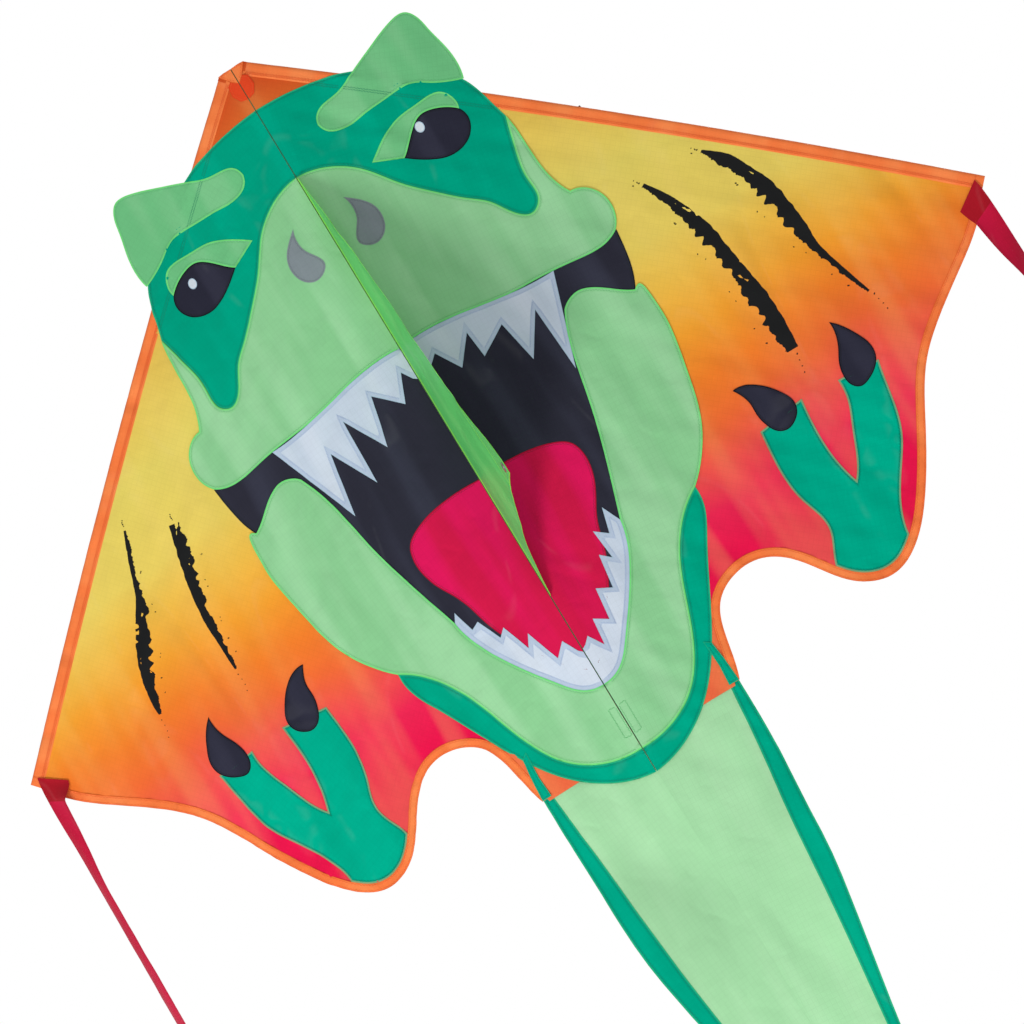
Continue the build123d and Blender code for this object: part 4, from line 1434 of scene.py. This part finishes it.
    def trim(self) -> None:
        """Eye glint, nose corner, nose fold and tail corner strip."""
        shop, closet = self.shop, self.shop.wardrobe
        turn = np.linspace(0.0, 2.0 * math.pi, 28, endpoint=False)
        glint = np.stack([(132.5 if self.side is Side.RIGHT else 151.5) + 4.9 * np.cos(turn),
                          (366.0 if self.side is Side.RIGHT else 359.5) + 5.8 * np.sin(turn)],
                         axis=1)
        shine = Dress(closet.GLINT, closet.TOOTH_RIM, closet.GLINT, closet.GLINT, "tooth_cloth",
                      0.8, 0.0, 0.0)
        strips = (
            ("eye_glint", glint, shine, 3.4, "eye"),
            ("nose_corner", np.array([(0.4, 483.0), (8.0, 485.0), (13.0, 494.0), (12.0, 505.0),
                                      (6.0, 509.0), (0.4, 504.0)]), closet.nose, 2.2, "sail_panel"),
            ("nose_fold", np.array([(0.4, 502.5), (6.5, 507.5), (15.6, 519.5), (0.4, 519.7)]),
             closet.binding, 3.0, "sail_panel"),
            ("tail_corner", np.array([(104.5, -226.0), (111.5, -231.0), (113.8, -250.0),
                                      (115.4, -275.8), (104.4, -275.8), (106.0, -254.0)]),
             closet.strip, 2.6, "sail_panel"),
        )
        for name, outline, dress, level, under in strips:
            rings = tuple(r for r in (dress.rim_width, dress.band_width) if r)
            cut = Cut(Region([outline]), rings, 3.0)
            rows = shop.row_inside(cut.region, dress.stitch_depth, clear=-9.0)
            piece = shop.sew(f"{self.side.prefix}_{name}", cut, dress, self.layout, self.shape,
                             level, rows=rows)
            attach(piece, self.body)
            if cut.flat_size[0] > 0.0105:
                shop.declare(piece, cut, Held.STRETCHED, [self.made[under]])
            LOG.info("piece %s", piece.name)

    def painted_closure_shadow(self) -> None:
        """Painted shade: a box of green thread on the jaw, where the closure behind it shows
        through as a shadow.
        """
        box = np.array([(2.0, -236.0), (9.5, -235.0), (9.5, -267.0), (2.0, -268.0), (2.0, -236.0)])
        # The green thread box is painted shade of the closure seen through the jaw.
        sewn, proud, faces = self.shop.stitches([box])
        piece = self.shop.mesh_piece(
            f"{self.side.prefix}_closure_stitches",
            self.layout.place(sewn, self.shape.rise(sewn, 4) + proud), faces, sewn,
            [GREEN_THREAD], [0] * len(faces), self.layout.front)
        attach(piece, self.body)
        LOG.info("piece %s", piece.name)

    @staticmethod
    def _specks(line: np.ndarray, way: np.ndarray, out: np.ndarray, half: np.ndarray,
                seed: float) -> list[np.ndarray]:
        """Small flecks of ink past the ends and the ragged edge of a mark.

        Args:
            line: Middle line of the mark.
            way: Unit direction along it at each point.
            out: Unit direction across it at each point.
            half: Half its width at each point.
            seed: Seed of this mark's own flecks.

        Returns:
            One small outline for each fleck.
        """
        turn = np.linspace(0.0, 2.0 * math.pi, 6, endpoint=False)
        flecks = []
        for number in range(16):
            luck = Vector([noise.noise(Vector((number * 1.7 + 0.3, seed, k * 3.1)))
                           for k in range(3)])
            if number % 4 == 0:
                middle = line[-1] + way[-1] * (6.0 + 1.6 * number) + out[-1] * luck.x * 6.0
            elif number % 4 == 1:
                middle = line[0] - way[0] * (4.0 + 0.5 * number) + out[0] * luck.x * 8.0
            else:
                index = int(len(line) * (0.12 + 0.05 * number + 0.1 * luck.y)) % len(line)
                middle = line[index] - out[index] * (1.9 * half[index] + 4.0 + 5.0 * abs(luck.x))
            size = 0.55 + 1.1 * abs(luck.z)
            ragged = size * (1.0 + 0.35 * np.sin(turn * 2.0 + number))
            flecks.append(middle + np.stack([ragged * np.cos(turn), ragged * np.sin(turn)], axis=1))
        return flecks

    def scratches(self) -> None:
        """Two ragged ink marks on the sail."""
        right = self.side is Side.RIGHT
        lines = {
            "outer_scratch": (
                [(357.0, 197.0), (376.0, 175.0), (386.0, 155.0), (394.0, 130.0), (398.0, 105.0),
                 (401.0, 75.0), (404.5, 52.0), (413.0, 22.0), (427.0, -17.0)],
                [0.9, 5.4, 5.2, 8.0, 7.6, 6.8, 3.2, 2.4, 0.7]) if right else (
                [(351.0, 192.0), (358.0, 173.0), (369.0, 145.0), (374.0, 125.0), (385.0, 102.0),
                 (399.0, 78.0), (410.0, 55.0), (417.0, 32.0), (421.0, 6.0)],
                [0.6, 1.8, 1.8, 2.8, 6.4, 7.4, 5.6, 4.6, 0.8]),
            "inner_scratch": (
                [(290.0, 198.0), (304.0, 175.0), (314.0, 148.0), (320.0, 122.0), (324.0, 95.0),
                 (328.0, 65.0), (330.0, 35.0), (331.5, 5.0), (331.5, -28.0)],
                [1.6, 3.0, 5.2, 7.4, 6.2, 6.6, 8.6, 7.4, 5.0]) if right else (
                [(302.0, 169.0), (305.0, 155.0), (309.0, 130.0), (316.0, 110.0), (320.0, 85.0),
                 (322.5, 60.0), (323.0, 35.0), (323.5, 2.0)],
                [4.6, 5.4, 6.2, 5.2, 4.4, 3.9, 2.4, 0.8]),
        }
        for name, (spine, widths) in lines.items():
            spine_points = np.array(spine)
            gaps = np.linalg.norm(np.diff(spine_points, axis=0), axis=1)
            reach = np.concatenate([[0.0], np.cumsum(gaps)])
            marks = np.arange(0.0, reach[-1], 1.3)
            line = np.stack([np.interp(marks, reach, spine_points[:, i]) for i in (0, 1)], axis=1)
            line = np.stack([np.convolve(np.pad(line[:, i], 9, mode="edge"), np.ones(19) / 19,
                                         "valid") for i in (0, 1)], axis=1)
            half = 1.1 * np.interp(marks, reach, widths)
            way = np.gradient(line, axis=0)
            way /= np.linalg.norm(way, axis=1)[:, None]
            out = np.stack([-way[:, 1], way[:, 0]], axis=1)
            seed = 3.0 * len(name) + 11.0 * self.side.value
            rag = [half * (1.02 + k * ripple(marks / 6.3, marks / 40.0, seed + k))
                   + k * 3.4 * np.maximum(ripple(marks / 2.3, marks, seed + 3 + k), 0.0) + 0.3
                   for k in (0.12, 0.75)]
            loop = np.concatenate([line + out * rag[0][:, None],
                                   (line - out * rag[1][:, None])[::-1]])
            specks = self._specks(line, way, out, half, seed)
            cut = Cut(Region([loop, *specks]), (), 5.0)
            ink = self.shop.wardrobe.INK
            dress = Dress(ink, ink, ink, ink, "black_cloth", 0.0, 0.0, 0.0)
            piece = self.shop.sew(f"{self.side.prefix}_{name}", cut, dress, self.layout,
                                  self.shape, 0.0, rows=[])
            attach(piece, self.body)
            LOG.info("piece %s", piece.name)

    def build(self) -> None:
        """Make every piece of the wing."""
        self.sail()
        self.hem()
        self.face()
        self.sleeve()
        self.sleeve_shadow()
        self.trim()
        self.painted_closure_shadow()
        self.scratches()


@dataclass
class Keel:
    """The swinging keel with its doubled point.

    Args:
        shop: Workshop that makes its pieces.
        root: Cloth nearer to the seam than this is drawn in to it, in millimetres.
        gap: How far from the seam it is drawn to.
    """

    shop: Workshop
    root: float = 6.4
    gap: float = 0.9

    def build(self) -> None:
        """Make the panel and the doubled point."""
        layout, shape = keel_layout(), KeelShape()
        dress = self.shop.wardrobe.keel
        for node, level in (("keel_panel", 0.0), ("keel_patch", 1.0)):
            region = Region.of_node(node, layout)
            cut = Cut(region, (dress.rim_width, dress.band_width), 6.0)
            rows = self.shop.row_inside(region, dress.stitch_depth, clear=12.0)
            piece = self.shop.sew(f"{node}_cloth", cut, dress, layout, shape, level, rows=rows)
            if node == "keel_panel":
                self._reach_seam(piece, layout)
            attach(piece, "keel")
            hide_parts(node)
            self.shop.declare(piece, cut, Held.STRETCHED, ["spine_rod"])
            LOG.info("piece %s", piece.name)

    def _reach_seam(self, piece: bpy.types.Object, layout: Layout) -> None:
        """Draw the sewn edge of the keel in to the seam.

        Args:
            piece: The keel's panel.
            layout: Pattern plane of the keel.
        """
        for vertex in piece.data.vertices:
            u, v, rise = layout.read(np.array([vertex.co]))[0]
            if u < self.root:
                vertex.co = layout.place(np.array([[self.gap, v]]), np.array([rise]))[0]


@dataclass
class Tail:
    """One half of the tail: its pale panel and dark edge band."""

    side: Side
    shop: Workshop
    wing: Wing

    def build(self) -> None:
        """Make the panel and the band, and hang them from the wing."""
        layout = tail_layout(self.side)
        shape = TailShape(self.side, self.wing.shape)
        closet = self.shop.wardrobe
        for node, dress, level in (("tail_panel", closet.tail, 0.0),
                                   ("tail_band", closet.dark, 1.0)):
            region = Region.of_node(f"{self.side.prefix}_{node}", layout)
            region = Region([np.stack([loop[:, 0], np.where(
                loop[:, 1] > TAIL_TOP - 0.5, TAIL_TOP + 6.0, loop[:, 1])], axis=1)
                for loop in region.loops])
            cut = Cut(region.grown(2.0) if level == 0.0 else region,
                      (dress.rim_width, dress.band_width) if level else (), 9.0)
            rows = self.shop.row_inside(region, dress.stitch_depth, clear=6.0) if level else []
            piece = self.shop.sew(f"{self.side.prefix}_{node}_cloth", cut, dress, layout, shape,
                                  level, rows=rows, pull=self.wing.seam_pull, meet=0.0)
            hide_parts(f"{self.side.prefix}_{node}")
            self.shop.declare(piece, cut, Held.HUNG, [self.wing.made["sail_panel"]])
            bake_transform(piece)
            LOG.info("piece %s", piece.name)


@dataclass
class Streamer:
    """A ribbon sewn to the front of one wing tip that hangs down and turns on itself.

    Args:
        side: Which half of the kite.
        shop: Workshop that makes it.
        wing: Wing that it hangs from; not used.
        width: Width of the ribbon in millimetres.
        outer_edge: u of its outer edge.
        top: v of its sewn end.
        bottom: v of its free end.
        skew: How far the sewn end slants across its width.
        hinge_at: u of a line that it could swing about; not used.
        end_depth: Depth of the doubled, darker end.
        turns: For the left and the right ribbon: how far it turns at the hem and lower down,
            in radians, where the second turn starts and how long it takes.
    """

    side: Side
    shop: Workshop
    wing: Wing
    width: float = 25.0
    outer_edge: float = 576.0
    top: float = 26.0
    bottom: float = -897.0
    skew: float = 20.0
    hinge_at: float = 563.0
    end_depth: float = 28.0
    turns: tuple[tuple[float, float, float, float], ...] = (
        (0.48, 0.34, 30.0, 120.0), (0.0, 1.0, 16.0, 120.0))

    def build(self) -> None:
        """Make the ribbon."""
        layout = wing_layout(self.side)
        early, late, start, span = self.turns[self.side is Side.RIGHT]
        drops = np.concatenate([np.arange(0.0, 60.0, 3.0),
                                np.linspace(60.0, self.top - self.bottom, 190)])
        across = np.linspace(0.0, 1.0, 9)
        spots, rises, flat, faces, indexes = [], [], [], [], []
        for row, drop in enumerate(drops):
            free = float(smooth((drop - 38.0) / 60.0))
            turn = early * float(smooth(drop / 26.0))
            turn += late * float(smooth((drop - start) / span))
            turn += 0.12 * float(smooth((drop - 300.0) / 200.0)) * math.sin(drop / 110.0)
            sway = 4.0 * float(smooth((drop - 300.0) / 300.0)) * math.sin(drop / 170.0)
            slant = self.skew * (1.0 - float(smooth(drop / 60.0)))
            spread = self.width + 4.0 * (1.0 - float(smooth(drop / 34.0)))
            for place in across:
                reach = spread * place
                curl = 1.6 * free * math.sin(math.pi * place)
                flutter = 0.8 * free * noise.noise(
                    Vector((drop / 23.0, place * 1.4, 3.0 * self.side.value)))
                lift = reach * math.sin(turn) + curl + flutter + 2.1 - 2.6 * free
                spots.append((self.outer_edge - 3.0 * math.exp(-drop / 12.0)
                              - reach * math.cos(turn) + sway, self.top - drop - slant * place))
                rises.append(lift)
                flat.append((reach, -drop))
            if row:
                first = (row - 1) * len(across)
                faces += [(first + i, first + i + 1, first + i + 1 + len(across),
                           first + i + len(across)) for i in range(len(across) - 1)]
                indexes += [2 if drop < self.end_depth else (1 if i in (0, 7) else 0)
                            for i in range(len(across) - 1)]
        closet = self.shop.wardrobe
        piece = self.shop.mesh_piece(f"{self.side.prefix}_ribbon",
                                     layout.place(np.array(spots), np.array(rises)), faces,
                                     np.array(flat),
                                     [closet.CRIMSON, closet.CRIMSON_RIM, closet.CRIMSON_END],
                                     indexes, layout.front)
        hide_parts(f"{self.side.prefix}_streamer")
        hinge = Vector(layout.place(np.array([[self.hinge_at, 0.0]]), np.array([0.0]))[0])
        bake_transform(piece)
        LOG.info("piece %s", piece.name)


@dataclass
class Spine:
    """Spine sleeve, seam tape, nose webbing and closure behind the seam.

    Args:
        shop: Workshop that makes the pieces.
        rod_back: How far the rod's middle lies behind the seam, in millimetres.
        top: Upper end of the sleeve.
        foot: Lower end of the sleeve.
        sleeve_cut: Width of the strip that the sleeve is folded from.
    """

    shop: Workshop
    rod_back: float = 5.0
    top: float = 501.0
    foot: float = -259.0
    sleeve_cut: float = 23.0

    def sleeve(self) -> None:
        """Cloth tunnel round the spine rod, sewn to the seam in front."""
        profile = [(-1.0, -4.6), (-2.4, -2.9), (-3.3, -0.6), (-3.1, 1.2), (-1.9, 2.8), (0.0, 3.4),
                   (1.9, 2.8), (3.1, 1.2), (3.3, -0.6), (2.4, -2.9), (1.0, -4.6)]
        places, flat, faces = [], [], []
        heights = np.arange(self.foot, self.top + 1.0, 5.0)
        for row, height in enumerate(heights):
            for column, (x, y) in enumerate(profile):
                crimp = 1.0 + 0.07 * noise.noise(Vector((height / 12.0, column * 0.8, 2.0)))
                fold = 0.25 * noise.noise(Vector((height / 50.0, column * 0.4, 7.0)))
                places.append((SEAM.x + x * crimp, SEAM.y + self.rod_back + y * crimp + fold,
                               height))
                flat.append((column * self.sleeve_cut / (len(profile) - 1), height))
            if row:
                first = (row - 1) * len(profile)
                faces += [(first + i, first + i + 1, first + i + 1 + len(profile),
                           first + i + len(profile)) for i in range(len(profile) - 1)]
        piece = self.shop.mesh_piece("spine_sleeve_cloth", np.array(places) * MM, faces,
                                     np.array(flat), [self.shop.wardrobe.ORANGE],
                                     [0] * len(faces))
        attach(piece, "spine")
        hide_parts("spine_sleeve")
        LOG.info("piece %s", piece.name)

    def tape(self) -> None:
        """Narrow seam tape that closes the gap between the wings."""
        heights = np.linspace(HEM_HEIGHT, 519.6, 134)
        places, flat, faces = [], [], []
        for row, height in enumerate(heights):
            for x in (-2.2, 0.0, 2.2):
                places.append((SEAM.x + x, SEAM.y + 0.35 + 0.1 * abs(x), height))
                flat.append((x, height))
            if row:
                first = (row - 1) * 3
                faces += [(first + i, first + i + 1, first + i + 4, first + i + 3)
                          for i in range(2)]
        piece = self.shop.mesh_piece("seam_tape", np.array(places) * MM, faces, np.array(flat),
                                     [self.shop.wardrobe.SEAM_TAPE], [0] * len(faces),
                                     Vector((0.0, -1.0, 0.0)))
        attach(piece, "spine")
        LOG.info("piece %s", piece.name)

    def dress_patches(self) -> None:
        """Finish the rods, caps, webbing and tapes that keep their measured shape."""
        closet = self.shop.wardrobe
        finishes = {"spine_rod": closet.ROD, "spreader_rod": closet.ROD,
                    "left_leading_spar": closet.ROD, "right_leading_spar": closet.ROD,
                    "nose_patch": closet.NOSE, "closure_patch": closet.LOOPS,
                    "closure_flap": closet.LOOPS, "tow_eyelet": closet.METAL}
        soft = ("spine_nose_cap", "spine_foot_cap", "spreader_end_caps", "left_spar_caps",
                "right_spar_caps", "left_spreader_connector", "right_spreader_connector")
        finishes.update({name: closet.VINYL for name in soft})
        for name, finish in finishes.items():
            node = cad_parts[name]
            node.data.materials.clear()
            node.data.materials.append(finish.material(self.shop.effects))
            LOG.info("finish %s on %s", finish.name, name)

    def build(self) -> None:
        """Make the pieces behind the seam."""
        self.sleeve()
        self.tape()
        self.dress_patches()


# ---------------------------------------------------------------------------- studio


@dataclass
class Studio:
    """Pale floor, soft light and the camera.

    Args:
        distance: From the camera to the kite, in metres.
        lens: Focal length in millimetres.
        yaw: How far the camera stands to the right of the front.
        pitch: How far it stands above the kite; negative where it looks up.
        roll: How far it leans.
    """

    distance: float = 3.4
    lens: float = 120.97
    yaw: float = math.radians(7.81)
    pitch: float = math.radians(-8.77)
    roll: float = math.radians(-31.28)

    def floor(self) -> None:
        """Pale floor under the hanging kite."""
        mesh = bpy.data.meshes.new("floor")
        size, low = 3.4, -2.7
        mesh.from_pydata([(-size, -size, low), (size, -size, low), (size, size, low),
                          (-size, size, low)], [], [(0, 1, 2, 3)])
        floor = bpy.data.objects.new("floor", mesh)
        bpy.context.collection.objects.link(floor)
        paint = bpy.data.materials.new("floor_paint")
        paint.use_nodes = True
        paint.node_tree.nodes["Principled BSDF"].inputs["Base Color"].default_value = (
            0.86, 0.86, 0.86, 1.0)
        paint.node_tree.nodes["Principled BSDF"].inputs["Roughness"].default_value = 0.9
        mesh.materials.append(paint)

    def light(self) -> None:
        """White surroundings and a large soft lamp low on the left in front."""
        world = bpy.data.worlds.new("studio")
        bpy.context.scene.world = world
        world.use_nodes = True
        sketch = NodeSketch(world.node_tree)
        back = world.node_tree.nodes["Background"]
        path = sketch.add("ShaderNodeLightPath")
        back.inputs["Color"].default_value = (1.0, 1.0, 1.0, 1.0)
        sketch.join(sketch.maths("MULTIPLY_ADD", path.outputs["Is Camera Ray"], 0.49, 0.51),
                    back.inputs["Strength"])
        for name, place, size, power in (("key", (-1.85, -2.4, -2.05), 0.9, 72.0),
                                         ("fill", (1.6, -3.2, -0.4), 2.4, 20.0),
                                         ("back", (0.8, 2.8, 1.0), 2.0, 45.0)):
            lamp = bpy.data.lights.new(name, "AREA")
            lamp.size = size
            lamp.energy = power
            lamp_object = bpy.data.objects.new(name, lamp)
            aim = Vector((-0.05, 0.14, 0.05)) - Vector(place)
            lamp_object.matrix_world = (Matrix.Translation(place)
                                        @ aim.to_track_quat("-Z", "Y").to_matrix().to_4x4())
            bpy.context.collection.objects.link(lamp_object)

    def camera(self) -> None:
        """Camera low in front, leaning so that the nose is at the upper left."""
        back = Vector((math.sin(self.yaw) * math.cos(self.pitch),
                       -math.cos(self.yaw) * math.cos(self.pitch), math.sin(self.pitch)))
        right = (-back).cross(UP).normalized()
        top = right.cross(-back)
        across = right * math.cos(self.roll) + top * math.sin(self.roll)
        upward = top * math.cos(self.roll) - right * math.sin(self.roll)
        aim = (SEAM + Vector((10.85, 0.0, -18.0))) * MM
        turn = Matrix((across, upward, back)).transposed().to_4x4()
        data = bpy.data.cameras.new("camera")
        data.lens = self.lens
        data.clip_end = 50.0
        camera = bpy.data.objects.new("camera", data)
        camera.matrix_world = Matrix.Translation(aim + back * self.distance) @ turn
        bpy.context.collection.objects.link(camera)
        bpy.context.scene.camera = camera

    def build(self) -> None:
        """Set the studio up."""
        bpy.context.scene.view_settings.view_transform = "Standard"
        self.floor()
        self.light()
        self.camera()


def main() -> None:
    """Build the kite piece by piece."""
    logging.basicConfig(level=logging.INFO, format="%(message)s")
    Studio().build()
    shop = Workshop()
    Spine(shop).build()
    for side in Side:
        wing = Wing(side, shop)
        wing.build()
        Tail(side, shop, wing).build()
        Streamer(side, shop, wing).build()
    Keel(shop).build()


if __name__ == "__main__":
    main()
